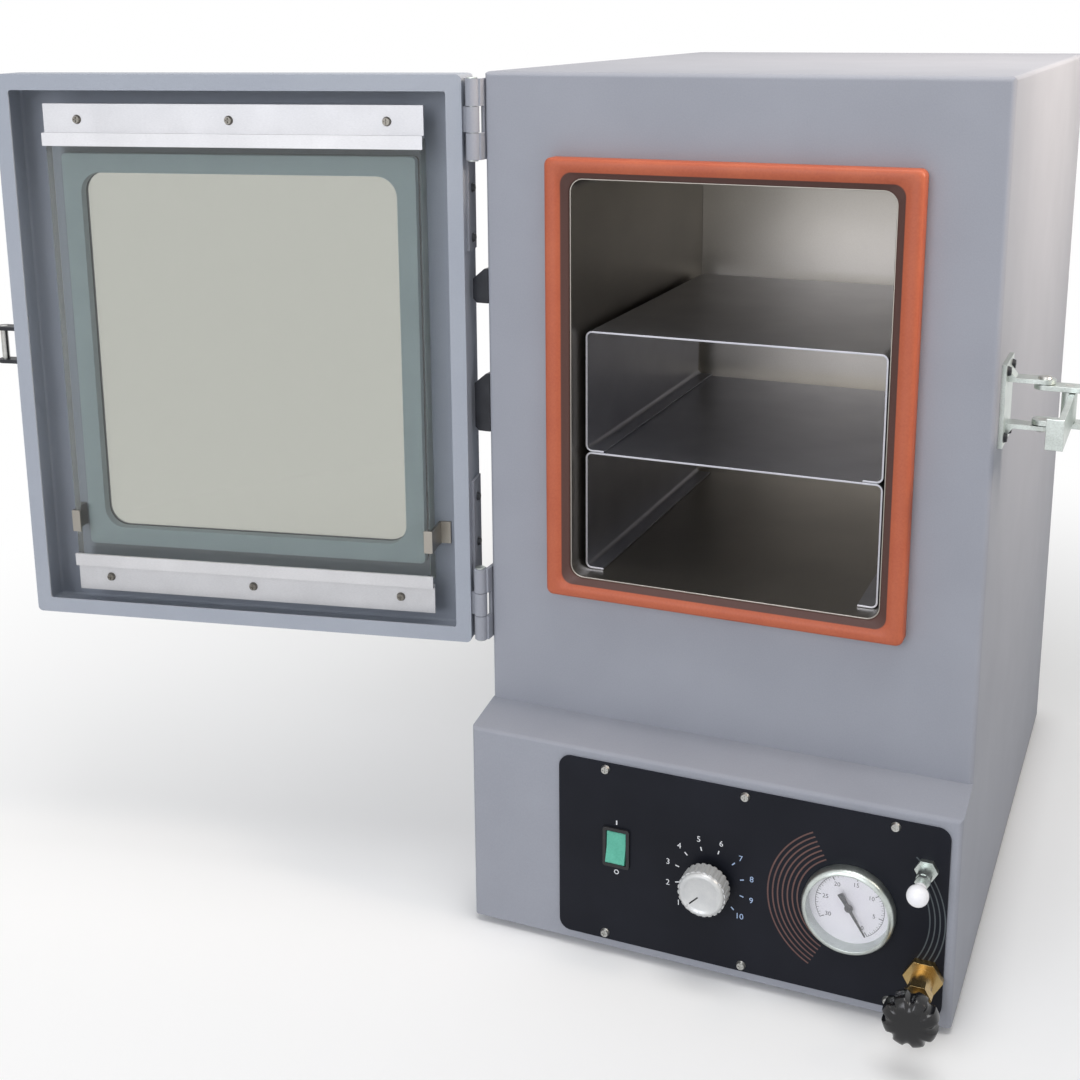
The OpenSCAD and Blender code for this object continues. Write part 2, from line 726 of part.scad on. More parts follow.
module power_rocker() color([0.35, 0.75, 0.62])
    translate([switch_x, panel_y + 2, switch_z]) rotate([-rocker_tilt, 0, 0]) {
        across(rocker_w) polygon([
            [3.5, -rocker_h / 2 + 3], [-4, -rocker_h / 2 + 0.4], [-4.8, -rocker_h / 2 + 1.4],
            [-3.2, 0], [-4.8, rocker_h / 2 - 1.4], [-4, rocker_h / 2 - 0.4], [3.5, rocker_h / 2 - 3]]);
        translate([-rocker_w / 2 - 1, 0, 0]) rotate([0, 90, 0]) cylinder(r = trunnion_r, h = rocker_w + 2);
    }

// Gauge: case, dial, needle on its arbor, lens
gauge_r = gauge_d / 2;
case_r = gauge_r - 3;
lip_r = gauge_r - 4;
arbor_r = 1;

module gauge_case() color(steel) translate([gauge_x, panel_y, gauge_z]) difference() {
    union() {
        turned([[0, 0], [gauge_r, 0], [gauge_r, gauge_out - 3], [gauge_r - 1, gauge_out - 1],
            [gauge_r - 2.5, gauge_out], [0, gauge_out]]);
        translate([0, gauge_back, 0]) rod(case_r, gauge_back);
        translate([0, gauge_back + 10, 0]) rod(6, 12);
    }
    translate([0, 4, 0]) rod(lip_r, gauge_out + 5);
}

module gauge_dial() color("white") translate([gauge_x, panel_y + 4, gauge_z]) difference() {
    rod(lip_r, 3);
    translate([0, 1, 0]) rod(arbor_r + bore_clear, 5);
}

module gauge_lens() color([0.9, 0.95, 1, 0.4])
    translate([gauge_x, panel_y - gauge_out + 2.5, gauge_z]) rod(lip_r, 1.5);

module gauge_needle() color(black) translate([gauge_x, panel_y, gauge_z])
    rotate([0, needle_rest, 0]) {
        translate([0, 3.5, 0]) rod(arbor_r, 7);
        translate([0, -2, 0]) rod(3, 1);
        translate([0, -3, 0]) upright(1)
            polygon([[-12, -2.2], [0, -1.2], [lip_r - 6, -0.4], [lip_r - 6, 0.4], [0, 1.2], [-12, 2.2]]);
    }

// Vent valve: nickel-plated body, thin stem, white ball
vent_stem_r = 2.5;

module vent_valve_body() color(steel) translate([vent_x, panel_y, vent_z]) difference() {
    union() {
        translate([0, panel_t + 30, 0]) rod(vent_bush_r, panel_t + 30);
        hexagon(14, 4);
        rod(vent_bush_r, 16);
        translate([0, -16, 0]) hexagon(9, 4);
    }
    translate([0, 10, 0]) rod(vent_stem_r + bore_clear, 40);
}

module vent_stem() color(steel) translate([vent_x, panel_y + 8, vent_z]) rod(vent_stem_r, 8 + vent_reach);

module vent_knob() color("white") translate([vent_x, panel_y - vent_reach, vent_z]) difference() {
    union() {
        sphere(d = vent_ball_d);
        translate([0, vent_ball_d / 2 + 3, 0]) rod(4, vent_ball_d / 2);
    }
    translate([0, vent_ball_d, 0]) rod(vent_stem_r, vent_ball_d);
}

// Vacuum valve: brass body, brass stem, black fluted knob
valve_stem_r = 4;
valve_knob_h = 24;

module vacuum_valve_body() color(brass) translate([valve_x, panel_y, valve_z]) difference() {
    union() {
        translate([0, panel_t + 34, 0]) rod(valve_bush_r, panel_t + 34);
        hexagon(24, 6);
        rod(valve_bush_r, 20);
        translate([0, -20, 0]) hexagon(17, 8);
    }
    translate([0, 16, 0]) rod(valve_stem_r + bore_clear, 60);
}

module vacuum_stem() color(brass) translate([valve_x, panel_y + 14, valve_z])
    rod(valve_stem_r, 14 + valve_reach - 4);

module vacuum_knob() color(black) translate([valve_x, panel_y - valve_reach + valve_knob_h, valve_z])
    difference() {
        r = valve_knob_d / 2;
        turned([[0, 0], [r * 0.45, 0], [r * 0.5, 4], [r * 0.82, 6], [r, 10], [r, 17], [r * 0.9, 21],
            [r * 0.7, valve_knob_h], [0, valve_knob_h]]);
        translate([0, 1, 0]) rod(valve_stem_r, valve_knob_h - 3);
        for (i = [0:7]) rotate([0, i * 45, 0]) translate([r + 2.4, -4, 0]) rod(4.6, valve_knob_h);
    }

// ---------------------------------------------------------------- tubes and rear fittings

riser_y = rear_y - 53;
valve_tail_y = base_y + 34;
vent_tail_y = base_y + 30;
tube_bend = 10;
drop_y = 60;
vent_turn = 90;
crossing_z = valve_z + 60;

module vacuum_line() color(copper) tube([
    [chamber_port_x, chamber_back_y - chamber_t, chamber_port_z],
    [chamber_port_x, riser_y, chamber_port_z],
    [chamber_port_x, riser_y, crossing_z],
    [valve_x, riser_y, crossing_z],
    [valve_x, valve_tail_y + drop_y, crossing_z],
    [valve_x, valve_tail_y + drop_y, valve_z],
    [valve_x, valve_tail_y, valve_z]], tube_r, tube_bend);

module vent_line() color(copper) tube([
    [-chamber_port_x, chamber_back_y - chamber_t, chamber_port_z],
    [-chamber_port_x, riser_y, chamber_port_z],
    [-chamber_port_x, riser_y, vent_z],
    [-chamber_port_x, vent_tail_y + vent_turn, vent_z],
    [vent_x, vent_tail_y + vent_turn, vent_z],
    [vent_x, vent_tail_y, vent_z]], tube_r, tube_bend);

module pump_line() color(copper) tube([
    [valve_x - valve_bush_r, valve_tail_y - 12, valve_z],
    [port_x, valve_tail_y - 12, valve_z],
    [port_x, valve_tail_y + drop_y, valve_z],
    [port_x, valve_tail_y + drop_y, port_z],
    [port_x, rear_y - port_tail, port_z]], tube_r, tube_bend);

// Thermostat's sensor: a bulb on the back of the chamber, and its thin tube to the thermostat
capillary_r = 1.2;
capillary_bend = 6;
bulb_x = -20;
bulb_y = chamber_back_y + bulb_r;
capillary_x = bulb_x + bulb_len / 2 + 2 * capillary_bend;

module sensor_line_grown(grow) {
    translate([bulb_x - bulb_len / 2 - grow, bulb_y, bulb_z]) rotate([0, 90, 0])
        cylinder(r = bulb_r + grow, h = bulb_len + 2 * grow);
    tube([
        [bulb_x + bulb_len / 2, bulb_y, bulb_z],
        [capillary_x, bulb_y, bulb_z],
        [capillary_x, riser_y, bulb_z],
        [capillary_x, riser_y, knob_z],
        [capillary_x, base_y + thermo_body[1] + 40, knob_z],
        [knob_x, base_y + thermo_body[1] + 40, knob_z],
        [knob_x, base_y + thermo_body[1], knob_z]], capillary_r + grow, capillary_bend);
}

module sensor_line() color(copper) sensor_line_grown(0);

port_nut = 6;
port_tail = 12;
stub_bore_r = 3;

module vacuum_port() color(steel) translate([port_x, rear_y + sheet_t + port_nut, port_z]) difference() {
    union() {
        translate([0, stub_len, 0]) rod(stub_r, stub_len + port_nut + sheet_t + port_tail);
        hexagon(16, port_nut);
    }
    translate([0, stub_len + 1, 0]) rod(stub_bore_r, stub_len + port_nut + 2);
}

module power_inlet() color(black) translate([inlet_x, rear_y + sheet_t, inlet_z]) difference() {
    union() {
        upright(3) round_rect(48, 24, 4);
        translate([0, -sheet_t - 18, 0]) upright(sheet_t + 18) square([inlet_w, inlet_h], center = true);
    }
    translate([0, -12, 0]) upright(16) round_rect(24, 16, 2);
}

module fuse_holder() color(black) translate([fuse_x, rear_y + sheet_t, fuse_z]) {
    translate([0, 8, 0]) rod(8, 8);
    rod(fuse_r, 30);
}

// ---------------------------------------------------------------- hinges

knuckle_gap = 0.5;
door_knuckle = hinge_len / 3;

module knuckle(length) translate([hinge_x, hinge_y, 0]) difference() {
    cylinder(r = knuckle_r, h = length);
    translate([0, 0, -1]) cylinder(r = hinge_pin_r, h = length + 2);
}

module cabinet_hinge_leaves() color(paint) for (z = hinge_zs) translate([0, 0, z]) difference() {
    union() {
        for (dz = [0, hinge_len - door_knuckle]) translate([0, 0, dz]) {
            knuckle(door_knuckle);
            translate([-side_x - leaf_t, hinge_y, 0]) cube([leaf_t, hinge_fwd + 1, door_knuckle]);
        }
        translate([-side_x - leaf_t, face_y, 0]) cube([leaf_t, leaf_w, hinge_len]);
    }
    translate([hinge_x, hinge_y, -1]) cylinder(r = hinge_pin_r, h = hinge_len + 2);
    translate([-side_x - 10, hinge_screw_y, 0]) for (k = [0.2, 0.8])
        translate([0, 0, k * hinge_len]) rotate([0, 90, 0]) cylinder(r = screw_r, h = 20);
    translate([hinge_x - knuckle_r - 1, hinge_y - knuckle_r - 1, door_knuckle])
        cube([2 * knuckle_r + 3, knuckle_r + 1 + hinge_fwd - 0.5, hinge_len - 2 * door_knuckle]);
}

module hinge_pins() color(steel) for (z = hinge_zs) translate([hinge_x, hinge_y, z]) {
    cylinder(r = hinge_pin_r, h = hinge_len);
    for (dz = [-1, hinge_len]) translate([0, 0, dz]) cylinder(r = hinge_pin_r + 1, h = 1);
}

module side_screws() color(steel) {
    side_screw_places(-1) rotate([0, -90, 0]) screw();
    side_screw_places(1) rotate([0, 90, 0]) screw();
}

// The door's leaves lie on its hinge side and carry the middle knuckles
door_leaf_y0 = hinge_y - knuckle_r - play;
door_leaf_w = 22;
door_leaf_screws = [[0.07, 0.365], [0.587, 0.88]];

module door_leaf_screw_places() for (i = [0, 1], k = door_leaf_screws[i])
    translate([door_x0 - door_leaf_t, door_leaf_y0 - door_leaf_w / 2, door_leaf_zs[i] + k * door_leaf_len])
        children();

door_leaf_t = 2;

module door_hinge_leaves() color(paint) at_door() difference() {
    for (i = [0, 1]) {
        translate([door_x0 - door_leaf_t, door_leaf_y0 - door_leaf_w, door_leaf_zs[i]])
            cube([door_leaf_t, door_leaf_w, door_leaf_len]);
        translate([0, 0, hinge_zs[i] + door_knuckle + knuckle_gap]) {
            barrel_len = hinge_len - 2 * door_knuckle - 2 * knuckle_gap;
            translate([hinge_x, hinge_y, 0]) cylinder(r = knuckle_r, h = barrel_len);
            translate([hinge_x + knuckle_r - 1, door_leaf_y0 - 1, 0])
                cube([door_x0 - hinge_x - knuckle_r + 1, hinge_y - door_leaf_y0 + 1, barrel_len]);
        }
    }
    for (z = hinge_zs) translate([hinge_x, hinge_y, z])
        cylinder(r = hinge_pin_r + bore_clear, h = hinge_len);
    door_leaf_screw_places() rotate([0, 90, 0]) cylinder(r = screw_r, h = 12, center = true);
}

module door_hinge_screws() color(dark_steel) at_door() door_leaf_screw_places()
    rotate([0, -90, 0]) screw();

module door_stops() color(dark_steel) for (i = [0, 1])
    translate([-side_x, stop_y, stop_zs[i]]) difference() {
        union() {
            translate([-stop_t, 0, 0]) cube([stop_t, stop_d, stop_hs[i]]);
            upright(stop_t) polygon([[0, 0], [0, stop_hs[i]], [-stop_t, stop_hs[i]],
                [-stop_out, stop_hs[i] - 8], [-stop_out, 3], [-stop_out + 3, 0]]);
        }
        translate([-10, stop_d - 7, stop_hs[i] / 2]) rotate([0, 90, 0]) cylinder(r = screw_r, h = 20);
    }

// ---------------------------------------------------------------- latch

ear_t = 3;
cheek_t = 3.5;
ear_r = 7;
rivet_r = 3;
cheek_z = hook_h / 2 + play;
ear_z = cheek_z + cheek_t + play;
web_start = 30;
cheek_end = 36;

// Outline of an ear or cheek: a bar with a round end about the pivot
module round_bar(length, r) {
    circle(r);
    translate([0, -r]) square([length, 2 * r]);
}

module latch_base() color(steel) difference() {
    union() {
        translate([side_x, lever_y - latch_plate_w / 2, latch_z - latch_plate_h / 2])
            cube([latch_plate_t, latch_plate_w, latch_plate_h]);
        for (z = [ear_z, -ear_z - ear_t]) translate([lever_x, lever_y, latch_z + z])
            linear_extrude(ear_t) rotate(180) round_bar(lever_out - 1, ear_r);
        for (m = [0, 1]) translate([side_x + latch_plate_t - 1, lever_y + ear_r, latch_z])
            mirror([0, 0, m]) rotate([90, 0, 0]) linear_extrude(2 * ear_r)
                polygon([[0, ear_z], [8, ear_z], [0, latch_plate_h / 2 - 4]]);
    }
    translate([lever_x, lever_y, latch_z - 40]) cylinder(r = rivet_r, h = 80);
    side_screw_places(1) rotate([0, 90, 0]) cylinder(r = screw_r, h = 20, center = true);
}

// Two short rivets leave the middle free for the hook
module latch_rivets() color(steel) translate([lever_x, lever_y, latch_z])
    for (m = [0, 1]) mirror([0, 0, m]) {
        translate([0, 0, cheek_z]) cylinder(r = rivet_r, h = ear_z + ear_t - cheek_z);
        translate([0, 0, ear_z + ear_t]) cylinder(r1 = rivet_r + 2, r2 = rivet_r + 1, h = 1.5);
    }

module latch_lever() color(steel) translate([lever_x, lever_y, latch_z]) difference() {
    union() {
        for (z = [cheek_z, -cheek_z - cheek_t]) translate([0, 0, z])
            linear_extrude(cheek_t) round_bar(cheek_end, ear_r);
        translate([web_start, -ear_r, -cheek_z - cheek_t])
            cube([lever_len - web_start - 8, cheek_t, 2 * (cheek_z + cheek_t)]);
        translate([lever_len - 8, -ear_r - 6 + cheek_t, 0]) curl();
    }
    translate([0, 0, -40]) cylinder(r = rivet_r + bore_clear, h = 80);
    translate([throw, 0, -40]) cylinder(r = rivet_r, h = 80);
}

// Curled end of the lever: a quarter turn of the web towards the user
module curl() linear_extrude(2 * (cheek_z + cheek_t), center = true) intersection() {
    difference() {
        circle(6);
        circle(6 - cheek_t);
    }
    square(6);
}

module hook_rivet() color(steel) translate([lever_x + throw, lever_y, latch_z - cheek_z - cheek_t])
    cylinder(r = rivet_r, h = 2 * (cheek_z + cheek_t));

// Shut position of the hook's pivot and of the pin it catches, from the lever's pivot
shut_pivot = throw * [cos(lever_shut), sin(lever_shut)];
catch_x = side_x + 20;
catch_y = face_y - 22;
catch_local = [catch_x - lever_x, catch_y - lever_y] - shut_pivot;
catch_clear = 0.4;
hook_x0 = catch_local[0] + catch_r + catch_clear;
hook_y0 = catch_local[1] - catch_r - catch_clear;

module latch_hook() color(steel) translate([lever_x + throw, lever_y, latch_z - hook_h / 2]) difference() {
    union() {
        cylinder(r = 5, h = hook_h);
        translate([hook_x0, hook_y0 - hook_t, 0]) cube([hook_t, -hook_y0 + hook_t, hook_h]);
        translate([hook_x0 - 7, hook_y0 - hook_t, 0]) cube([7 + hook_t, hook_t, hook_h]);
    }
    translate([0, 0, -1]) cylinder(r = rivet_r + bore_clear, h = hook_h + 2);
}

// ---------------------------------------------------------------- door

strike_h = 52;
strike_t = 2.5;
strike_w = 28;
strike_ear_z = hook_h / 2 + 2;

module strike_screw_places() for (z = [-1, 1])
    translate([door_x1 + strike_t, catch_y, latch_z + z * (strike_h / 2 - 5)]) children();

module door_pan() color(paint) at_door() difference() {
    translate([door_cx, door_y, door_z]) soft_pan(door_w, door_d, door_h, edge_r);
    translate([door_cx, door_y + sheet_t, door_z])
        soft_pan(door_w - 2 * sheet_t, door_d - 2 * sheet_t, door_h - 2 * sheet_t, edge_r - sheet_t);
    translate([door_cx, rim_y - 2 * sheet_t, door_z]) upright(3 * sheet_t)
        round_rect(door_w - 2 * door_rim, door_h - 2 * door_rim, 2);
    translate([door_cx, door_y - 1, chamber_z]) upright(sheet_t + 2)
        round_rect(window_w, window_h, window_r);
    door_leaf_screw_places() rotate([0, 90, 0]) cylinder(r = screw_r, h = 12);
    strike_screw_places() rotate([0, -90, 0]) cylinder(r = screw_r, h = 12);
}

pad_outer_w = window_w + 2 * pad_w;
pad_outer_h = window_h + 2 * pad_w;

module window_shield() color([0.85, 0.88, 0.86, 0.3]) at_door()
    translate([door_cx, door_y + sheet_t, chamber_z]) upright(shield_t)
        round_rect(pad_outer_w, pad_outer_h, 4);

module glass_pad() color([0.45, 0.50, 0.52]) at_door() translate([door_cx, pad_y, chamber_z])
    difference() {
        upright(pad_t) round_rect(pad_outer_w, pad_outer_h, 4);
        translate([0, -1, 0]) upright(pad_t + 2) round_rect(window_w, window_h, window_r);
    }

module door_glass() color([0.55, 0.68, 0.70, 0.35]) at_door()
    translate([door_cx, glass_y - glass_t, chamber_z]) upright(glass_t) round_rect(glass_w, glass_h, 3);

// Z-section over the glass's edge: lip on the glass, step, flange on the posts
step_z = glass_h / 2 + slip;
lip_z = step_z + retainer_t - retainer_lip;
flange_mid_z = step_z + retainer_flange / 2;
flange_y = glass_y - retainer_step - retainer_t;

module retainer() translate([0, 0, chamber_z]) difference() {
    union() {
        translate([door_cx, glass_y, 0]) across(retainer_w) translate([0, lip_z])
            square([retainer_t, retainer_lip]);
        translate([door_cx, flange_y, 0]) across(retainer_w) translate([0, step_z])
            square([glass_y - flange_y + retainer_t, retainer_t]);
        translate([door_cx, flange_y, 0]) across(retainer_w) translate([0, step_z])
            square([retainer_t, retainer_flange]);
    }
    for (i = [-1:1]) translate([door_cx + i * retainer_pitch, flange_y - 1, flange_mid_z])
        rotate([-90, 0, 0]) cylinder(r = screw_r, h = retainer_t + 2);
}

module top_retainer() color(aluminium) at_door() retainer();

module bottom_retainer() color(aluminium) at_door() translate([0, 0, 2 * chamber_z])
    mirror([0, 0, 1]) retainer();

module retainer_places(y) for (i = [-1:1], z = [-1, 1])
    translate([door_cx + i * retainer_pitch, y, chamber_z + z * flange_mid_z]) children();

post_r = 5;

module retainer_posts() color(steel) at_door() retainer_places(flange_y) difference() {
    rod(post_r, flange_y - door_y - sheet_t);
    translate([0, 1, 0]) rod(screw_r, screw_len + 1);
}

module retainer_screws() color(steel) at_door() retainer_places(flange_y + retainer_t)
    rotate([-90, 0, 0]) screw();

// Spring clips that carry the glass at its sides
clip_t = 2;
clip_h = 18;
clip_lip = 5;
clip_foot = 10;
clip_up = 36;

module glass_clips() color(steel) at_door() for (m = [0, 1])
    translate([door_cx, door_y + sheet_t, chamber_z - glass_h / 2 + clip_up]) mirror([m, 0, 0])
        translate([glass_w / 2 + slip, 0, -clip_h / 2]) {
            clip_d = glass_y - door_y - sheet_t;
            cube([clip_t, clip_d + clip_t, clip_h]);
            translate([-clip_lip, clip_d, 0]) cube([clip_lip, clip_t, clip_h]);
            cube([clip_foot, clip_t, clip_h]);
        }

module door_strike() color(dark_steel) at_door() difference() {
    union() {
        translate([door_x1, catch_y - strike_w / 2, latch_z - strike_h / 2])
            cube([strike_t, strike_w, strike_h]);
        for (z = [strike_ear_z, -strike_ear_z - ear_t]) translate([catch_x, catch_y, latch_z + z])
            linear_extrude(ear_t) rotate(180) round_bar(catch_x - door_x1 - 1, 6);
    }
    translate([catch_x, catch_y, latch_z - 30]) cylinder(r = catch_r, h = 60);
    strike_screw_places() rotate([0, 90, 0]) cylinder(r = screw_r, h = 12, center = true);
}

module strike_pin() color(steel) at_door() {
    translate([catch_x, catch_y, latch_z - strike_ear_z - ear_t])
        cylinder(r = catch_r, h = 2 * (strike_ear_z + ear_t));
    strike_screw_places() rotate([0, 90, 0]) screw();
}

// ---------------------------------------------------------------- nodes

cabinet_shell();
rear_cover();
base_housing();
base_floor();
base_rear_panel();
rubber_feet();
control_panel();
panel_screws();
rear_screws();
chamber_liner();
heater_pads();
insulation();
door_gasket();
lower_shelf();
upper_shelf();
thermostat();
thermostat_shaft();
temperature_knob();
switch_body();
power_rocker();
gauge_case();
gauge_dial();
gauge_lens();
gauge_needle();
vent_valve_body();
vent_stem();
vent_knob();
vacuum_valve_body();
vacuum_stem();
vacuum_knob();
vacuum_line();
pump_line();
vent_line();
sensor_line();
vacuum_port();
power_inlet();
fuse_holder();
cabinet_hinge_leaves();
hinge_pins();
side_screws();
door_stops();
latch_base();
latch_rivets();
latch_lever();
hook_rivet();
latch_hook();
door_pan();
door_hinge_leaves();
door_hinge_screws();
window_shield();
glass_pad();
door_glass();
top_retainer();
bottom_retainer();
retainer_posts();
retainer_screws();
glass_clips();
door_strike();
strike_pin();
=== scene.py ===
"""Looks of a benchtop vacuum oven: coated sheet steel, silicone gasket, thick glass, brushed chamber and panel."""

import json
import math

import bmesh
import bpy
import numpy as np
from mathutils import Matrix, Vector


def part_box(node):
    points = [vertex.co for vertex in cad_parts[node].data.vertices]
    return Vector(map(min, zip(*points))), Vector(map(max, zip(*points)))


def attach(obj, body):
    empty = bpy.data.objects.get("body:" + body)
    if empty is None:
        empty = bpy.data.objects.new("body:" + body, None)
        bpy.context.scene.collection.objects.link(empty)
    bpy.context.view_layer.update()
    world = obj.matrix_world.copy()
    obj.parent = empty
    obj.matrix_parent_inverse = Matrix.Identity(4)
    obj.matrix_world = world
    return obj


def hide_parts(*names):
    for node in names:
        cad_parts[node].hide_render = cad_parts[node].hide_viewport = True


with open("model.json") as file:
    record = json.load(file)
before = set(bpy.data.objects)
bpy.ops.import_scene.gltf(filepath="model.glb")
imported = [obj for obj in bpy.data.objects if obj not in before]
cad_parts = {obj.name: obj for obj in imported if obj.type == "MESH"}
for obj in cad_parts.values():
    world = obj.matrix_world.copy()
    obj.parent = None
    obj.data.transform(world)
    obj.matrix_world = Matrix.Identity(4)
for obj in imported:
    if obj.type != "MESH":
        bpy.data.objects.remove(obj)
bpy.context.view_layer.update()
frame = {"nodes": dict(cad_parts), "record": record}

MM = 0.001
BODY_OF = {node: body for body, nodes in frame["record"]["behaviour"]["bodies"].items() for node in nodes}

# ---------------------------------------------------------------- camera

# Place in metres, angles in radians, lens in mm, shift as a share of the picture, and the furthest it sees in metres
CAMERA_PLACE = (0.3026, -1.2486, 0.7026)
CAMERA_HEADING = 0.412
CAMERA_FALL = 0.2344
CAMERA_ROLL = -0.0076
CAMERA_LENS = 51.4
CAMERA_SHIFT = -0.15
CAMERA_REACH = 50


def aim_camera():
    """Camera matrix from heading, downward tilt and roll: columns are right, up and back."""
    fall, heading = CAMERA_FALL, CAMERA_HEADING
    ahead = Vector((-math.sin(heading) * math.cos(fall), math.cos(heading) * math.cos(fall), -math.sin(fall)))
    right = ahead.cross(Vector((0, 0, 1))).normalized()
    up = right.cross(ahead)
    c, s = math.cos(CAMERA_ROLL), math.sin(CAMERA_ROLL)
    axes = (c * right + s * up, c * up - s * right, -ahead)
    camera = bpy.data.objects.new("camera", bpy.data.cameras.new("camera"))
    bpy.context.scene.collection.objects.link(camera)
    camera.matrix_world = Matrix.Translation(CAMERA_PLACE) @ Matrix(axes).transposed().to_4x4()
    camera.data.lens = CAMERA_LENS
    camera.data.shift_y = CAMERA_SHIFT
    camera.data.clip_end = CAMERA_REACH
    bpy.context.scene.camera = camera


aim_camera()

# ---------------------------------------------------------------- materials

# Sockets of a Mix node that mixes colours: its two colours, and its result
MIX_FIRST, MIX_SECOND, MIX_RESULT = 6, 7, 2


def linear(hex_colour):
    """Linear red, green, blue and alpha of an sRGB hex colour."""
    c = np.array([int(hex_colour[i:i + 2], 16) for i in (1, 3, 5)]) / 255
    return (*np.where(c <= 0.04045, c / 12.92, ((c + 0.055) / 1.055) ** 2.4), 1.0)


def add(tree, kind, inputs=(), **settings):
    """Adds a shader node with its settings, and fills its inputs with values or with other nodes' outputs."""
    made = tree.nodes.new("ShaderNode" + kind)
    for name, value in settings.items():
        setattr(made, name, value)
    for name, value in dict(inputs).items():
        if isinstance(value, bpy.types.NodeSocket):
            tree.links.new(value, made.inputs[name])
        else:
            made.inputs[name].default_value = value
    return made


def new_material(name, **shader):
    """Material with these values on its shader's own sockets. Gives the material, its node tree and the shader."""
    material = bpy.data.materials.new(name)
    material.use_nodes = True
    surface = material.node_tree.nodes["Principled BSDF"]
    for socket, value in shader.items():
        surface.inputs[socket.replace("_", " ")].default_value = value
    return material, material.node_tree, surface


def finish(name, tones, grain, relief, rough, cloud=60, streak=(1, 1, 1), **shader):
    """Material whose colour drifts between two tones in clouds, under noise of one grain.

    grain, relief and cloud are in mm. rough holds the roughness in the grain's hollows and on its tops,
    and streak draws the grain out along the axes where it is below 1."""
    material, tree, surface = new_material(name, **shader)
    place = add(tree, "TexCoord").outputs["Object"]
    drawn = add(tree, "Mapping", {"Vector": place, "Scale": streak})
    fine = add(tree, "TexNoise", {"Vector": drawn.outputs[0], "Scale": 1 / (grain * MM), "Detail": 3.0})
    broad = add(tree, "TexNoise", {"Vector": place, "Scale": 1 / (cloud * MM), "Detail": 2.0})
    # A noise keeps mostly between 0.3 and 0.7, and the sum of two between 0.7 and 1.3
    both = add(tree, "Math", {0: fine.outputs["Fac"], 1: broad.outputs["Fac"]}, operation="ADD")
    share = add(tree, "MapRange", {"Value": both.outputs[0], "From Min": 0.7, "From Max": 1.3})
    colour = add(tree, "Mix", {"Factor": share.outputs[0], MIX_FIRST: linear(tones[0]),
                               MIX_SECOND: linear(tones[1])}, data_type="RGBA")
    gloss = add(tree, "MapRange", {"Value": fine.outputs["Fac"], "From Min": 0.3, "From Max": 0.7,
                                   "To Min": rough[0], "To Max": rough[1]})
    bump = add(tree, "Bump", {"Height": fine.outputs["Fac"], "Distance": relief * MM})
    tree.links.new(colour.outputs[MIX_RESULT], surface.inputs["Base Color"])
    tree.links.new(gloss.outputs[0], surface.inputs["Roughness"])
    tree.links.new(bump.outputs[0], surface.inputs["Normal"])
    return material


# The orange peel and the wool's tufts have their real size. The grain of metals, mouldings and enamels is really
# 0.02 to 0.2 mm, too fine to show, and is drawn at 0.35 to 1.6 mm.

# Powder coat: baked polyester with a fine orange peel, dull enough to spread every highlight
powder_coat = finish("powder_coated_steel", ("#93969f", "#999ca5"), 1.1, 0.05, (0.58, 0.68),
                     Specular_IOR_Level=0.3)
# The door pan's coat is the same, painted a little paler and cooler as painted light that lifts the shade in its deep
# recess
powder_coat_lightened = finish("powder_coated_steel_lightened", ("#9aa0ab", "#9fa5af"), 1.1, 0.05, (0.58, 0.68),
                           Specular_IOR_Level=0.3)
# Zinc plate with a clear passivate: grey with a cool green cast and cloudy patches
zinc_plate = finish("zinc_plated_steel", ("#b4bab6", "#cfd6d2"), 0.9, 0.012, (0.30, 0.42), 14, Metallic=1.0)
# Plated pressed steel, darker and rougher than the fittings
plated_screw = finish("plated_screw_steel", ("#a5a5a2", "#c3c3bf"), 0.5, 0.01, (0.28, 0.38), 6, Metallic=1.0)
# Screws that the oven's heat has browned
tarnished_screw = finish("tarnished_screw_steel", ("#6d6a64", "#86827a"), 0.5, 0.01, (0.3, 0.4), 5, Metallic=0.9)
# Stainless sheet brushed front to back, dulled by heat
brushed_stainless = finish("brushed_stainless_steel", ("#96928b", "#a8a39b"), 0.35, 0.012, (0.30, 0.42), 90,
                           (1, 0.02, 1), Metallic=1.0)
# Mill-finish aluminium sheet with faint rolling lines from side to side
mill_aluminium = finish("mill_finish_aluminium", ("#b0b1b9", "#c0c1c7"), 0.5, 0.008, (0.30, 0.40), 50,
                        (0.03, 1, 1), Metallic=1.0)
# Anodised aluminium extrusion, near white, its oxide softening the metal's shine
anodised_aluminium = finish("anodised_aluminium", ("#c2c2c4", "#d0d0d2"), 0.4, 0.005, (0.36, 0.44), 40,
                            (0.03, 1, 1), Metallic=0.4)
# Blackened steel: a thin oxide, dull and slightly uneven
blackened_steel = finish("blackened_steel", ("#232428", "#34363b"), 0.8, 0.02, (0.38, 0.5), 12, Metallic=0.5)
# Moulded silicone: saturated, waxy, with a fine mould texture
red_silicone = finish("moulded_silicone_rubber", ("#a84f31", "#b45c3b"), 1.6, 0.04, (0.45, 0.58), 40)
# Silicone sheet cut to size: pale blue grey, even and chalky
grey_silicone = finish("silicone_rubber_sheet", ("#b6c6ce", "#bfced6"), 1.2, 0.03, (0.5, 0.6), 40)
# Moulded rubber of the feet: nearly black and matt
black_rubber = finish("nitrile_rubber", ("#131313", "#1c1c1c"), 0.9, 0.05, (0.6, 0.7), 20)
# Screen-printed panel: satin charcoal enamel on aluminium
panel_enamel = finish("satin_panel_enamel", ("#15171e", "#1c1e26"), 0.8, 0.015, (0.38, 0.46), 50,
                      Specular_IOR_Level=0.14)
# Moulded nylon: black, with the satin of a spark-eroded mould
black_nylon = finish("moulded_nylon", ("#141416", "#1b1b1e"), 0.7, 0.03, (0.42, 0.52), 12)
# Moulded phenolic resin from a polished mould: deep black and glossy
phenolic = finish("phenolic_resin", ("#08080a", "#101013"), 1.5, 0.01, (0.16, 0.24), 12)
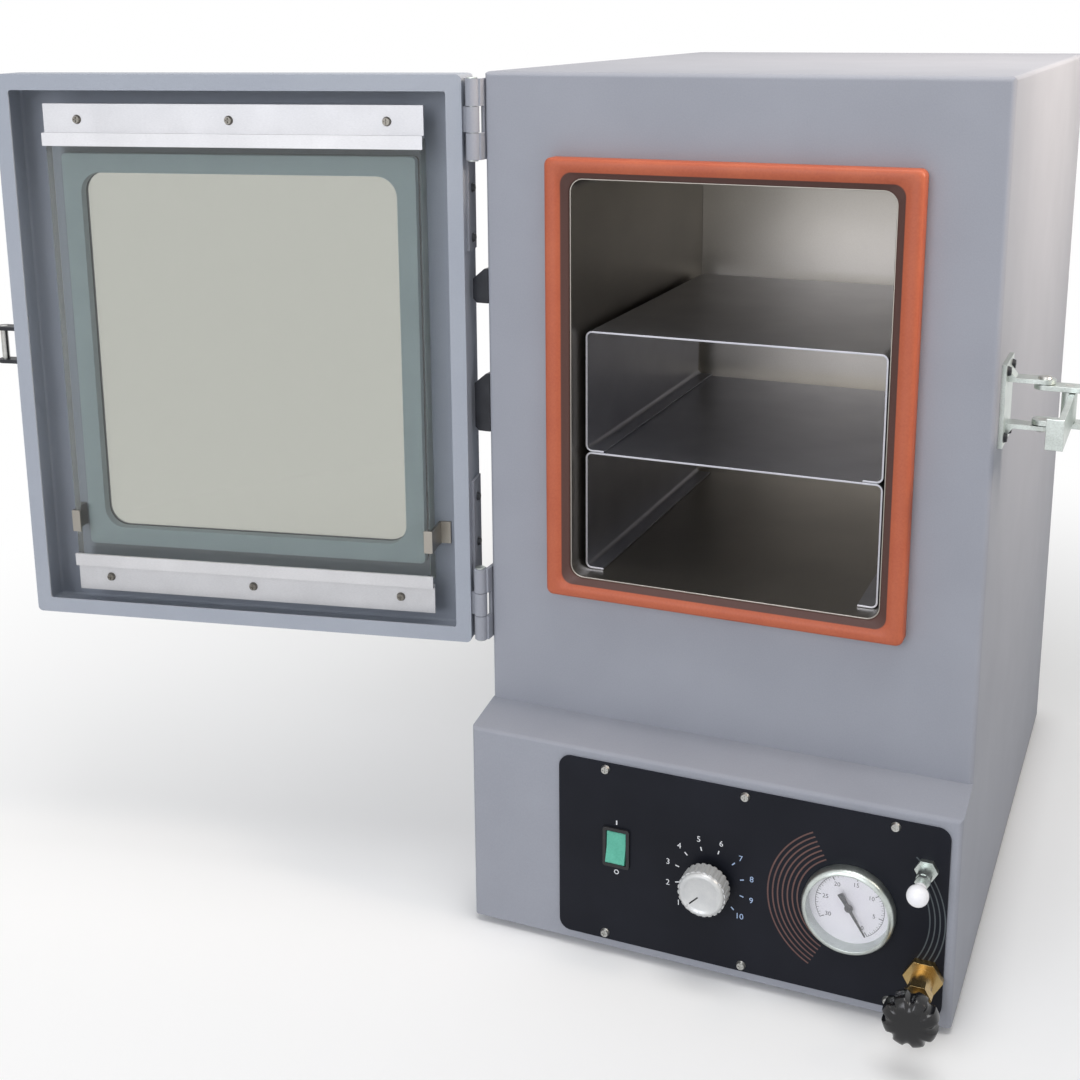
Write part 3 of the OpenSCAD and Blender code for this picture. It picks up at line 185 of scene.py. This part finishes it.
# Tinted acrylic rocker: smooth, glossy and one green right through
green_acrylic = finish("green_acrylic", ("#50a891", "#5db69e"), 1.5, 0.01, (0.20, 0.26), 10)
# Turned and anodised aluminium: pale, with a soft shine
knob_aluminium = finish("turned_knob_aluminium", ("#c3c5c6", "#d2d3d2"), 0.35, 0.006, (0.30, 0.38), 8, Metallic=0.35)
# Moulded urea resin: hard, white and glossy
white_urea = finish("white_urea_resin", ("#eeeef2", "#f6f6f8"), 1.2, 0.008, (0.18, 0.26), 10)
# Sprayed enamels of the gauge: flat and even, white on its dial and black on its needle
dial_enamel = finish("white_dial_enamel", ("#eeecf4", "#f4f3f8"), 0.8, 0.005, (0.4, 0.46), 15)
needle_enamel = finish("black_needle_enamel", ("#0b0b0c", "#121213"), 0.6, 0.004, (0.4, 0.5), 8)
# Machined brass: warm, bright and lightly tarnished
machined_brass = finish("machined_brass", ("#ab915f", "#bda475"), 0.4, 0.006, (0.24, 0.32), 12, Metallic=1.0)
# Drawn copper tube, dulled by handling
copper_tube = finish("drawn_copper", ("#b5714d", "#c9835c"), 0.6, 0.006, (0.3, 0.4), 20, Metallic=1.0)
# Mineral wool: matt, straw-coloured fibre in deep tufts
mineral_wool = finish("mineral_wool", ("#a39a70", "#c4bb92"), 2.5, 0.9, (0.85, 0.95), 30)
# Screen-printing inks: flat, dull films
INKS = {name: finish(name + "_ink", (low, high), 1.0, 0.002, (0.45, 0.5), 20) for name, low, high in (
    ("white", "#d7dade", "#e2e4e7"), ("pale_blue", "#9db4d6", "#adc2e0"), ("rust", "#573d3a", "#644640"),
    ("slate", "#3f474c", "#4a5256"), ("black", "#101011", "#161617"))}


def brown_the_lip(material):
    """Paints shade onto the silicone of the lip inside the mouth, where the bead shades it. The colour is mixed
    towards a dark brown by the mesh's lip value, 0 on the crest and 1 at the opening."""
    tree = material.node_tree
    surface = tree.nodes["Principled BSDF"]
    unshaded_tone = surface.inputs["Base Color"].links[0].from_socket
    share = add(tree, "Attribute", attribute_name="lip")
    mixed = add(tree, "Mix", {"Factor": share.outputs["Fac"], MIX_FIRST: unshaded_tone, MIX_SECOND: linear("#4a2c25")},
                data_type="RGBA")
    tree.links.new(mixed.outputs[MIX_RESULT], surface.inputs["Base Color"])


# Painted shade: the lip inside the mouth is coloured dark brown where the bead shades it
brown_the_lip(red_silicone)

# A clear sheet's faint waves: how far apart they are, and how high, in mm
WAVE, WAVE_HEIGHT = 6, 0.0015


def clear(name, tint, rough, **shader):
    """Clear sheet, the same all over, under a faint waviness that bends what shows in it."""
    material, tree, surface = new_material(name, Base_Color=linear(tint), Roughness=rough, **shader)
    place = add(tree, "TexCoord").outputs["Object"]
    wave = add(tree, "TexNoise", {"Vector": place, "Scale": 1 / (WAVE * MM), "Detail": 3.0})
    bump = add(tree, "Bump", {"Height": wave.outputs["Fac"], "Distance": WAVE_HEIGHT * MM})
    tree.links.new(bump.outputs[0], surface.inputs["Normal"])
    return material


# Polished plate glass: clear, with a faint green cast
plate_glass = clear("soda_lime_plate_glass", "#d3d7d4", 0.0, Transmission_Weight=1.0, IOR=1.52)
# Extruded polycarbonate: clear, with a slight haze and a warm cast
polycarbonate = clear("polycarbonate_sheet", "#dcd9d2", 0.05, Transmission_Weight=1.0, IOR=1.58)
# Thin domed glass: nothing but its gloss shows
gauge_glass = clear("gauge_glass", "#f6f6fa", 0.01, Alpha=0.08)

GROUND_ROUGHNESS = 0.6


def grind_the_edge(material):
    """Roughens the plate's sawn and ground edge, where the mesh's edge value is 1, and leaves its faces polished."""
    tree = material.node_tree
    share = add(tree, "Attribute", attribute_name="edge")
    rough = add(tree, "MapRange", {"Value": share.outputs["Fac"], "To Min": 0.0, "To Max": GROUND_ROUGHNESS})
    tree.links.new(rough.outputs[0], tree.nodes["Principled BSDF"].inputs["Roughness"])


grind_the_edge(plate_glass)

# ---------------------------------------------------------------- making pieces

# Points closer than this are one point, in metres
SAME_POINT = 1e-6
# In a copy of a CAD node, faces that meet at less than the first angle in degrees are one flat face, and an edge
# that is sharper than the second is rounded in so many steps
FLAT_ANGLE, SHARP_ANGLE, EDGE_STEPS = 0.4, 35, 2


def place_mesh(name, points, faces, material, smooth=40):
    """Object at the origin from points in metres and faces, smooth except at edges sharper than an angle."""
    mesh = bpy.data.meshes.new(name)
    mesh.from_pydata(np.asarray(points).reshape(-1, 3).tolist(), [], [tuple(f) for f in faces])
    mesh.polygons.foreach_set("use_smooth", np.ones(len(mesh.polygons), bool))
    mesh.set_sharp_from_angle(angle=math.radians(smooth))
    mesh.materials.append(material)
    piece = bpy.data.objects.new(name, mesh)
    bpy.context.scene.collection.objects.link(piece)
    return piece


def grid_faces(rows, columns, close_rows=False, close_columns=False):
    """Quads that join a grid of points, and join its last row or column to its first where it closes."""
    r = np.arange(rows if close_rows else rows - 1)[:, None]
    c = np.arange(columns if close_columns else columns - 1)[None, :]
    r1, c1 = (r + 1) % rows, (c + 1) % columns
    corners = (r * columns + c, r * columns + c1, r1 * columns + c1, r1 * columns + c)
    return np.stack([np.broadcast_to(k, (r.size, c.size)) for k in corners], -1).reshape(-1, 4)


def facing_out(piece):
    """Merges doubles and turns every face outwards."""
    work = bmesh.new()
    work.from_mesh(piece.data)
    bmesh.ops.remove_doubles(work, verts=work.verts, dist=SAME_POINT)
    bmesh.ops.recalc_face_normals(work, faces=work.faces)
    work.to_mesh(piece.data)
    work.free()
    return piece


def belongs(piece, node, stands_for=True):
    """The piece rides on the node's body, and may stand for the node."""
    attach(piece, BODY_OF[node])
    if stands_for:
        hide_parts(node)
    return piece


def softened(node, material, radius, slack):
    """Copy of a CAD node as one skin whose sharp edges are rounded to a radius in mm. Every point is drawn in along
    its normal by the slack in mm, so that a dry contact with glass keeps its film of air."""
    work = bmesh.new()
    work.from_mesh(frame["nodes"][node].data)
    bmesh.ops.remove_doubles(work, verts=work.verts, dist=SAME_POINT)
    bmesh.ops.dissolve_limit(work, angle_limit=math.radians(FLAT_ANGLE), verts=work.verts, edges=work.edges)
    work.verts.index_update()
    work.normal_update()
    points = np.array([v.co - v.normal * slack * MM for v in work.verts])
    faces = [[v.index for v in f.verts] for f in work.faces]
    work.free()
    piece = place_mesh(node + "_skin", points, faces, material, SHARP_ANGLE)
    edge = piece.modifiers.new("edge", "BEVEL")
    edge.width = radius * MM
    edge.segments = EDGE_STEPS
    edge.limit_method = "ANGLE"
    edge.angle_limit = math.radians(SHARP_ANGLE)
    edge.harden_normals = True
    return belongs(piece, node)


def mark_the_edge(piece):
    """Edge value of a flat plate: 0 on its two wide faces and 1 on every face round them."""
    area = np.zeros(len(piece.data.polygons))
    piece.data.polygons.foreach_get("area", area)
    edge = piece.data.attributes.new("edge", "FLOAT", "FACE")
    edge.data.foreach_set("value", (area < area.max() / 2).astype(float))


def rounded_rectangle(half_width, half_height, radius, steps=10):
    """Points round a rectangle with round corners, as x and z, with the same count at each corner. A point is its
    corner's centre plus the radius times the cosine and sine of its turn."""
    turn = np.linspace(0, math.pi / 2, steps)
    angle = np.concatenate([turn + k * math.pi / 2 for k in range(4)])
    side = np.repeat([[1, 1], [-1, 1], [-1, -1], [1, -1]], steps, axis=0)
    centre = side * (np.array([half_width, half_height]) - radius)
    return centre + radius * np.stack([np.cos(angle), np.sin(angle)], -1)


def centre_of(node):
    """Middle of a node's box."""
    low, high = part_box(node)
    return (low + high) / 2


# ---------------------------------------------------------------- finishes of the CAD pieces

# Each node with its finish and the radius of its rounded edges in mm
DRESS = {
    "cabinet_shell": (powder_coat, 0.3), "rear_cover": (powder_coat, 0.4), "base_housing": (powder_coat, 0.3),
    "base_floor": (powder_coat, 0.3), "base_rear_panel": (powder_coat, 0.3), "rubber_feet": (black_rubber, 0.8),
    "control_panel": (panel_enamel, 0.3), "panel_screws": (plated_screw, 0.2), "rear_screws": (plated_screw, 0.2),
    "chamber_liner": (brushed_stainless, 0.5), "lower_shelf": (mill_aluminium, 0.25),
    "upper_shelf": (mill_aluminium, 0.25), "thermostat": (zinc_plate, 0.3), "thermostat_shaft": (zinc_plate, 0.2),
    "temperature_knob": (knob_aluminium, 0.2), "switch_body": (black_nylon, 0.4),
    "power_rocker": (green_acrylic, 0.6), "gauge_case": (zinc_plate, 0.4), "gauge_needle": (needle_enamel, 0.08),
    "vent_valve_body": (zinc_plate, 0.3), "vent_stem": (zinc_plate, 0.2), "vent_knob": (white_urea, 0.3),
    "vacuum_valve_body": (machined_brass, 0.3), "vacuum_stem": (machined_brass, 0.2),
    "vacuum_port": (zinc_plate, 0.3), "power_inlet": (black_nylon, 0.4), "fuse_holder": (black_nylon, 0.4),
    "cabinet_hinge_leaves": (powder_coat, 0.3), "hinge_pins": (zinc_plate, 0.3), "side_screws": (blackened_steel, 0.2),
    "door_stops": (blackened_steel, 0.3), "latch_base": (zinc_plate, 0.3), "latch_rivets": (plated_screw, 0.3),
    "latch_lever": (zinc_plate, 0.3), "hook_rivet": (plated_screw, 0.3), "latch_hook": (zinc_plate, 0.4),
    "door_pan": (powder_coat_lightened, 0.3), "door_hinge_leaves": (powder_coat, 0.3),
    "door_hinge_screws": (blackened_steel, 0.2), "top_retainer": (anodised_aluminium, 0.3),
    "bottom_retainer": (anodised_aluminium, 0.3), "retainer_posts": (zinc_plate, 0.3),
    "retainer_screws": (tarnished_screw, 0.2), "glass_clips": (brushed_stainless, 0.2),
    "door_strike": (blackened_steel, 0.3), "strike_pin": (plated_screw, 0.2), "gauge_dial": (dial_enamel, 0.1),
    "glass_pad": (grey_silicone, 0.3), "window_shield": (polycarbonate, 0.3), "door_glass": (plate_glass, 0.4),
}
# The pad lies dry against the glass, and is drawn in from it, in mm
SLACK = {"glass_pad": 0.1}
skins = {node: softened(node, coat, radius, SLACK.get(node, 0.0)) for node, (coat, radius) in DRESS.items()}
mark_the_edge(skins["door_glass"])

# Nodes that keep their CAD mesh and take only a finish
PLAIN = {
    "heater_pads": grey_silicone, "insulation": mineral_wool, "gauge_lens": gauge_glass,
    "vacuum_line": copper_tube, "pump_line": copper_tube, "vent_line": copper_tube, "sensor_line": copper_tube,
}
for plain, coat in PLAIN.items():
    slots = frame["nodes"][plain].data.materials
    slots.clear()
    slots.append(coat)

# ---------------------------------------------------------------- gasket

# Width of the bead at its sides and at its top and bottom, and the corner radii of its opening and outer edge, in mm
BEAD_SIDE, BEAD_END, OPENING_RADIUS, OUTER_RADIUS = 17.5, 14.5, 10, 5
# The lip's painted shade ends at this share of the way out, and fades in over the share before that
LIP_SHADE_END, LIP_SHADE_FADE = 0.33, 0.04
# Section: share of the way out, and depth behind the front in mm
BEAD_SECTION = [
    (0.0, 7.0), (0.0, 6.3), (0.03, 5.6), (0.10, 4.9), (0.22, 3.5), (0.29, 2.6), (0.33, 2.1), (0.43, 0.95),
    (0.52, 0.3), (0.62, 0.0), (0.74, 0.0), (0.84, 0.25), (0.92, 0.8), (0.98, 1.9), (1.0, 3.2), (1.0, 12.8),
    (0.13, 12.8), (0.13, 7.0)]


def gasket_bead():
    """Ring whose section is lofted from the opening to the outer edge: a lip that slopes up out of the chamber,
    a rounded crest, a soft shoulder and a flat back. A point is the opening's outline plus the section's share of
    the step from there to the outer edge."""
    low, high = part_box("door_gasket")
    middle, half = (low + high) / 2, (high - low) / 2
    inner = rounded_rectangle(half.x - BEAD_SIDE * MM, half.z - BEAD_END * MM, OPENING_RADIUS * MM)
    outer = rounded_rectangle(half.x, half.z, OUTER_RADIUS * MM)
    share, depth = np.array(BEAD_SECTION).T
    ring = inner[:, None] + share[None, :, None] * (outer - inner)[:, None]
    y = np.broadcast_to(low.y + depth * MM, ring.shape[:2])
    points = np.stack([middle.x + ring[..., 0], y, middle.z + ring[..., 1]], -1)
    rows, columns = ring.shape[:2]
    piece = place_mesh("gasket_bead", points, grid_faces(rows, columns, True, True), red_silicone, 60)
    # Painted shade on the lip: 1 at the opening, fading to 0 where the lip ends
    lip = piece.data.attributes.new("lip", "FLOAT", "POINT")
    lip.data.foreach_set("value", np.tile(np.clip((LIP_SHADE_END - share) / LIP_SHADE_FADE, 0, 1), rows))
    return belongs(facing_out(piece), "door_gasket")


gasket_bead()

# ---------------------------------------------------------------- vacuum knob

# Radius in mm, count of scallops and how much of the radius they cut away at most, and points round the knob
KNOB_RADIUS, SCALLOPS, SCALLOP_CUT, KNOB_STEPS = 19, 8, 0.155, 128
# Outline from the back to the face: share of the radius, and distance out in mm
KNOB_OUTLINE = [
    (0, 0), (0.40, 0), (0.45, 0.6), (0.47, 2.5), (0.56, 4.4), (0.80, 5.8), (0.93, 7.2), (0.99, 9.4), (1.0, 12),
    (1.0, 15), (0.985, 17.4), (0.94, 19.4), (0.86, 21.0), (0.76, 22.2), (0.66, 23.0), (0.55, 23.5),
    (0.40, 23.8), (0.25, 23.9), (0, 24)]


def fluted_knob():
    """Turned outline whose radius dips at eight scallops. The dip follows the cosine of eight times the turn where
    that is above 0, and grows from nothing at half the full radius to its deepest where the knob is widest."""
    low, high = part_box("vacuum_knob")
    middle = (low + high) / 2
    radius, out = np.array(KNOB_OUTLINE).T
    turn = np.linspace(0, 2 * math.pi, KNOB_STEPS, endpoint=False)
    scallop = np.clip(np.cos(SCALLOPS * turn), 0, 1) ** 0.8
    depth = np.clip((radius - 0.5) / 0.5, 0, 1) ** 0.7 * SCALLOP_CUT
    size = KNOB_RADIUS * MM * (radius[:, None] - depth[:, None] * scallop[None, :])
    y = high.y - out[:, None] * MM
    points = np.stack([middle.x + size * np.cos(turn), np.broadcast_to(y, size.shape),
                       middle.z + size * np.sin(turn)], -1)
    piece = place_mesh("vacuum_knob_fluted", points, grid_faces(len(out), KNOB_STEPS, False, True), phenolic, 50)
    return belongs(facing_out(piece), "vacuum_knob")


fluted_knob()

# ---------------------------------------------------------------- small parts

# The mains inlet's blades in mm: width and height, how far inside its rim they start and end, and where they stand
BLADE_SIZE, BLADE_ROOT, BLADE_TIP = (2, 4), 15, 2
BLADE_PLACES = ((-7, -2), (0, 2), (7, -2))
# The fuse holder's cap: its length and its outline of radius and distance out, in mm, and points round it
CAP_LENGTH, CAP_STEPS = 8, 48
CAP_OUTLINE = [
    (0, 0), (8, 0), (8, 1.6), (6.6, 1.9), (6.3, 2.4), (6.3, 7.0), (5.7, 7.8), (4.6, 7.9), (4.3, 7.2), (0, 7.2)]
# The temperature knob's line: its turn from the right in degrees, where it starts and ends from the knob's middle
# and its half width in mm. The knob's face is sunk 1.2 mm, and the line stands 0.06 mm proud of it
LINE_TURN, LINE_START, LINE_END, LINE_HALF = 225, 3.0, 12.6, 0.55
LINE_DEPTHS = (1.2 - 0.06, 1.6)


def blade(centre, y_back, y_front):
    """Flat pin with a rounded tip: its outline shrinks over the last part of its length."""
    share = np.array([0, 0, 0.80, 0.90, 0.97, 1.0, 1.0])
    size = np.array([0, 1, 1, 0.94, 0.80, 0.60, 0])
    corner = np.array([(1, 1), (-1, 1), (-1, -1), (1, -1)]) * np.array(BLADE_SIZE) / 2 * MM
    x = centre[0] + size[:, None] * corner[None, :, 0]
    z = centre[1] + size[:, None] * corner[None, :, 1]
    y = np.broadcast_to((y_back + share * (y_front - y_back))[:, None], x.shape)
    return np.stack([x, y, z], -1).reshape(-1, 3), grid_faces(*x.shape, False, True)


def inlet_blades():
    """Three blades of the mains inlet, the middle one set higher."""
    low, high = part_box("power_inlet")
    middle = (low + high) / 2
    points, faces = [], []
    for count, (x, z) in enumerate(BLADE_PLACES):
        some, quads = blade((middle.x + x * MM, middle.z + z * MM), high.y - BLADE_ROOT * MM, high.y - BLADE_TIP * MM)
        points.append(some)
        faces += (quads + len(some) * count).tolist()
    piece = place_mesh("inlet_blades", np.concatenate(points), faces, zinc_plate)
    belongs(facing_out(piece), "power_inlet", False)


def fuse_cap():
    """Stepped round cap of the fuse holder with a sunk face: its outline turned about the front-to-back axis."""
    low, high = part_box("fuse_holder")
    middle = (low + high) / 2
    radius, out = np.array(CAP_OUTLINE).T * MM
    turn = np.linspace(0, 2 * math.pi, CAP_STEPS, endpoint=False)
    y = np.broadcast_to(high.y - CAP_LENGTH * MM + out[:, None], (len(out), CAP_STEPS))
    points = np.stack([middle.x + radius[:, None] * np.cos(turn), y, middle.z + radius[:, None] * np.sin(turn)], -1)
    piece = place_mesh("fuse_cap", points, grid_faces(len(out), CAP_STEPS, False, True), black_nylon)
    belongs(facing_out(piece), "fuse_holder", False)


def knob_pointer():
    """Thin inlaid line from the middle of the knob's face towards its notch."""
    low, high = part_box("temperature_knob")
    middle, angle = (low + high) / 2, math.radians(LINE_TURN)
    along, aside = np.array([math.cos(angle), math.sin(angle)]), np.array([-math.sin(angle), math.cos(angle)])
    corners = [(along * r + aside * s * LINE_HALF) * MM
               for r, s in ((LINE_START, -1), (LINE_END, -1), (LINE_END, 1), (LINE_START, 1))]
    points = [(middle.x + x, low.y + y * MM, middle.z + z) for y in LINE_DEPTHS for x, z in corners]
    faces = grid_faces(2, 4, False, True).tolist() + [(0, 1, 2, 3), (7, 6, 5, 4)]
    piece = place_mesh("knob_pointer", points, faces, INKS["black"])
    belongs(facing_out(piece), "temperature_knob", False)


inlet_blades()
fuse_cap()
knob_pointer()

# ---------------------------------------------------------------- printing

# How far a film of ink stands off its surface
INK = 0.08 * MM

# From here to the end of the printing, a direction is in degrees, anticlockwise from the right, and a length in mm.

# Vacuum scale: direction of its zero, degrees for each unit and last number
SCALE_ZERO, SCALE_UNIT, SCALE_LAST = -58, 9, 30
# Radius and width of its arc, and radius and size of its numbers
SCALE_RADIUS, SCALE_LINE, SCALE_NUMBERS, SCALE_SIZE = 24.5, 0.35, 17.8, 4.6
# Where its marks start and how wide they are: at every fifth unit, every unit and every half unit
FIFTH_MARK, UNIT_MARK, HALF_MARK = (21.2, 0.55), (22.4, 0.28), (23.3, 0.28)
# Thermostat: direction of its 1, degrees from there clockwise to the next, last number, and the first pale blue one
HEAT_FIRST, HEAT_UNIT, HEAT_LAST, HEAT_BLUE = 225, 30, 10, 7
# Radius and size of its numbers, and where its marks start and end with their width
HEAT_NUMBERS, HEAT_SIZE, HEAT_MARK = 33, 6.4, (24, 27, 0.9)
# Switch: where the bar above it starts and ends with its width, and the ring below it, how far down, its radius and
# its line
SWITCH_BAR, SWITCH_RING = (18.5, 22.0, 1.0), (20.5, 1.6, 0.7)
# Pinstripes left of the gauge: radii, width and directions. Right of it: radius and reach of each, and width
LEFT_STRIPES, LEFT_LINE, LEFT_REACH = np.arange(37.5, 62, 3.6), 1.1, (118, 242)
RIGHT_STRIPES, RIGHT_LINE = ((56, 30), (59.5, 38), (63, 44), (66.5, 48)), 0.9
# Room that a stripe leaves round a valve's stem
STEM_ROOM = 2


def strip(centre, radius, width, start, end, y, steps=48):
    """Flat band round a centre on an upright face, between two directions, as points and faces."""
    turn = np.radians(np.linspace(start, end, steps))
    size = (radius + np.array([-0.5, 0.5]) * width)[:, None] * MM
    points = np.stack([centre[0] + size * np.cos(turn), np.full((2, steps), y),
                       centre[1] + size * np.sin(turn)], -1).reshape(-1, 3)
    return points, grid_faces(2, steps)


def clear_of_stems(mark):
    """Leaves out the part of a mark that would run through a valve's stem, which its nut covers."""
    points, faces = mark
    middle = points[faces].mean(1)
    keep = np.ones(len(faces), bool)
    for stem in ("vent_stem", "vacuum_stem"):
        low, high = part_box(stem)
        centre, reach = (low + high) / 2, (high.x - low.x) / 2 + STEM_ROOM * MM
        keep &= np.hypot(middle[:, 0] - centre.x, middle[:, 2] - centre.z) > reach
    return points, faces[keep]


def bar(centre, inner, outer, width, angle, y):
    """Radial mark round a centre on an upright face, from one radius to another, as points and faces."""
    along = np.array([math.cos(math.radians(angle)), math.sin(math.radians(angle))])
    aside = np.array([-along[1], along[0]]) * width / 2
    flat = [along * inner - aside, along * outer - aside, along * outer + aside, along * inner + aside]
    return np.array([(centre[0] + x * MM, y, centre[1] + z * MM) for x, z in flat]), np.array([[0, 1, 2, 3]])


def numeral(text, centre, radius, angle, size, y):
    """Number whose middle is on a circle round a centre, upright, as points and faces."""
    letters = bpy.data.curves.new("numeral", "FONT")
    letters.body = text
    letters.size = size * MM
    letters.align_x, letters.align_y = "CENTER", "CENTER"
    letters.resolution_u = 3
    holder = bpy.data.objects.new("numeral", letters)
    mesh = holder.to_mesh()
    flat = np.array([v.co for v in mesh.vertices]).reshape(-1, 3)
    faces = [list(p.vertices) for p in mesh.polygons]
    holder.to_mesh_clear()
    bpy.data.objects.remove(holder)
    bpy.data.curves.remove(letters)
    x = centre[0] + radius * MM * math.cos(math.radians(angle))
    z = centre[1] + radius * MM * math.sin(math.radians(angle))
    return np.stack([x + flat[:, 0], np.full(len(flat), y), z + flat[:, 1]], -1), faces


def printed(name, ink, marks, node):
    """Joins marks into one film of ink that rides with a node."""
    points, faces, first = [], [], 0
    for mark_points, mark_faces in marks:
        points.append(mark_points)
        faces += [[int(i) + first for i in f] for f in mark_faces]
        first += len(mark_points)
    return belongs(place_mesh(name, np.concatenate(points), faces, INKS[ink]), node, False)


def print_gauge_dial():
    """Vacuum scale from zero at the lower right, leftwards round the top, to 30 at the lower left."""
    middle = centre_of("gauge_dial")
    centre, y = (middle.x, middle.z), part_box("gauge_dial")[0].y - INK
    marks = [strip(centre, SCALE_RADIUS, SCALE_LINE, SCALE_ZERO, SCALE_ZERO + SCALE_UNIT * SCALE_LAST, y, 90)]
    for half in range(2 * SCALE_LAST + 1):
        start, width = FIFTH_MARK if half % 10 == 0 else UNIT_MARK if half % 2 == 0 else HALF_MARK
        marks.append(bar(centre, start, SCALE_RADIUS, width, SCALE_ZERO + SCALE_UNIT * half / 2, y))
    for value in range(0, SCALE_LAST + 1, 5):
        marks.append(numeral(str(value), centre, SCALE_NUMBERS, SCALE_ZERO + SCALE_UNIT * value, SCALE_SIZE, y))
    printed("gauge_scale", "black", marks, "gauge_dial")


def print_panel():
    """Thermostat numbers, the switch's marks, and the pinstripes either side of the gauge."""
    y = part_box("control_panel")[0].y - INK
    knob, gauge, switch = (centre_of(n) for n in ("temperature_knob", "gauge_dial", "switch_body"))
    dial = (knob.x, knob.z)
    pale, blue = [], []
    for number in range(1, HEAT_LAST + 1):
        angle = HEAT_FIRST - HEAT_UNIT * (number - 1)
        side = blue if number >= HEAT_BLUE else pale
        side.append(numeral(str(number), dial, HEAT_NUMBERS, angle, HEAT_SIZE, y))
        side.append(bar(dial, *HEAT_MARK, angle, y))
    pale.append(bar((switch.x, switch.z), *SWITCH_BAR, 90, y))
    below, radius, line = SWITCH_RING
    pale.append(strip((switch.x, switch.z - below * MM), radius, line, 0, 360, y, 24))
    printed("thermostat_numbers", "white", pale, "control_panel")
    printed("thermostat_numbers_high", "pale_blue", blue, "control_panel")
    centre = (gauge.x, gauge.z)
    left = [strip(centre, radius, LEFT_LINE, *LEFT_REACH, y) for radius in LEFT_STRIPES]
    right = [clear_of_stems(strip(centre, radius, RIGHT_LINE, -reach, reach, y)) for radius, reach in RIGHT_STRIPES]
    printed("gauge_pinstripes_left", "rust", left, "control_panel")
    printed("gauge_pinstripes_right", "slate", right, "control_panel")


print_gauge_dial()
print_panel()

# ---------------------------------------------------------------- floor and light

# Lengths in metres: half of the floor's side, the distances from its middle where its white starts and is full, and
# how far beside the base the shade reaches
FLOOR_HALF, WHITE_START, WHITE_FULL, SHADE_REACH = 9.0, 0.35, 1.2, 0.03
# Share of white where it starts
WHITE_LEAST = 0.25
# Strength of the surroundings' light on dull surfaces
FILL = 0.42


def seen_by_eye(tree):
    """1 for a ray from the camera, straight or by way of metal or glass, and 0 for one from a dull surface."""
    path = add(tree, "LightPath")
    direct = add(tree, "Math", {0: path.outputs["Is Camera Ray"], 1: path.outputs["Is Glossy Ray"]},
                 operation="MAXIMUM")
    return add(tree, "Math", {0: direct.outputs[0], 1: path.outputs["Is Transmission Ray"]},
               operation="MAXIMUM").outputs[0]


def stage_floor():
    """Wide pale floor. To the camera it lightens to pure white away from the object, and keeps a soft shadow
    round it and its full shade under it."""
    points = [(x * FLOOR_HALF, y * FLOOR_HALF, 0) for x, y in ((-1, -1), (1, -1), (1, 1), (-1, 1))]
    material, tree, matt = new_material("pale_floor", Base_Color=linear("#f8f8f8"), Roughness=0.9)
    place = add(tree, "TexCoord").outputs["Object"]
    reach = add(tree, "VectorMath", {0: place}, operation="LENGTH")
    far = add(tree, "MapRange", {"Value": reach.outputs["Value"], "From Min": WHITE_START, "From Max": WHITE_FULL,
                                 "To Min": WHITE_LEAST, "To Max": 1.0}, interpolation_type="SMOOTHSTEP")
    # Distance beside the base: of the place's size along x and y, the part beyond the base's half width and depth
    low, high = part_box("base_housing")
    away = add(tree, "VectorMath", {0: place}, operation="ABSOLUTE")
    aside = add(tree, "VectorMath", {0: away.outputs[0], 1: (high.x, -low.y, 0)}, operation="SUBTRACT")
    outside = add(tree, "VectorMath", {0: aside.outputs[0], 1: (0, 0, 0)}, operation="MAXIMUM")
    beside = add(tree, "VectorMath", {0: outside.outputs[0]}, operation="LENGTH")
    unshaded = add(tree, "MapRange", {"Value": beside.outputs["Value"], "From Max": SHADE_REACH})
    pale = add(tree, "Math", {0: far.outputs[0], 1: unshaded.outputs[0]}, operation="MULTIPLY")
    seen = add(tree, "Math", {0: pale.outputs[0], 1: seen_by_eye(tree)}, operation="MULTIPLY")
    white = add(tree, "Emission", {"Strength": 1.0})
    blend = add(tree, "MixShader", {0: seen.outputs[0], 1: matt.outputs[0], 2: white.outputs[0]})
    tree.links.new(blend.outputs[0], tree.nodes["Material Output"].inputs["Surface"])
    place_mesh("floor", points, [(0, 1, 2, 3)], material)


def lamp(name, place, target, size, power, colour, spread=180):
    """Square soft box that faces its target, with its light kept within a spread in degrees."""
    light = bpy.data.lights.new(name, "AREA")
    light.size, light.energy, light.color = size, power, linear(colour)[:3]
    light.spread = math.radians(spread)
    holder = bpy.data.objects.new(name, light)
    bpy.context.scene.collection.objects.link(holder)
    holder.location = place
    holder.rotation_euler = (Vector(target) - Vector(place)).to_track_quat("-Z", "Y").to_euler()


def light_world():
    """Plain white surroundings: the camera, metal and glass see strength 1, and dull surfaces a softer fill."""
    world = bpy.data.worlds.new("studio")
    bpy.context.scene.world = world
    world.use_nodes = True
    tree = world.node_tree
    strength = add(tree, "MapRange", {"Value": seen_by_eye(tree), "To Min": FILL, "To Max": 1.0})
    back = tree.nodes["Background"]
    back.inputs["Color"].default_value = (1, 1, 1, 1)
    tree.links.new(strength.outputs[0], back.inputs["Strength"])


stage_floor()
light_world()
# A small warm lamp at the right, a broad cool one in front and a plain one above
lamp("key", (1.2, -0.1, 1.35), (0.18, 0.05, 0.78), 0.5, 2.8, "#ffeedb", 45)
lamp("fill", (-0.5, -2.9, 1.3), (-0.2, 0, 0.35), 1.6, 33, "#f6f8ff")
lamp("top", (0.2, -0.5, 2.4), (0, -0.1, 0.4), 1.2, 22, "#ffffff")

bpy.context.scene.view_settings.view_transform = "Standard"
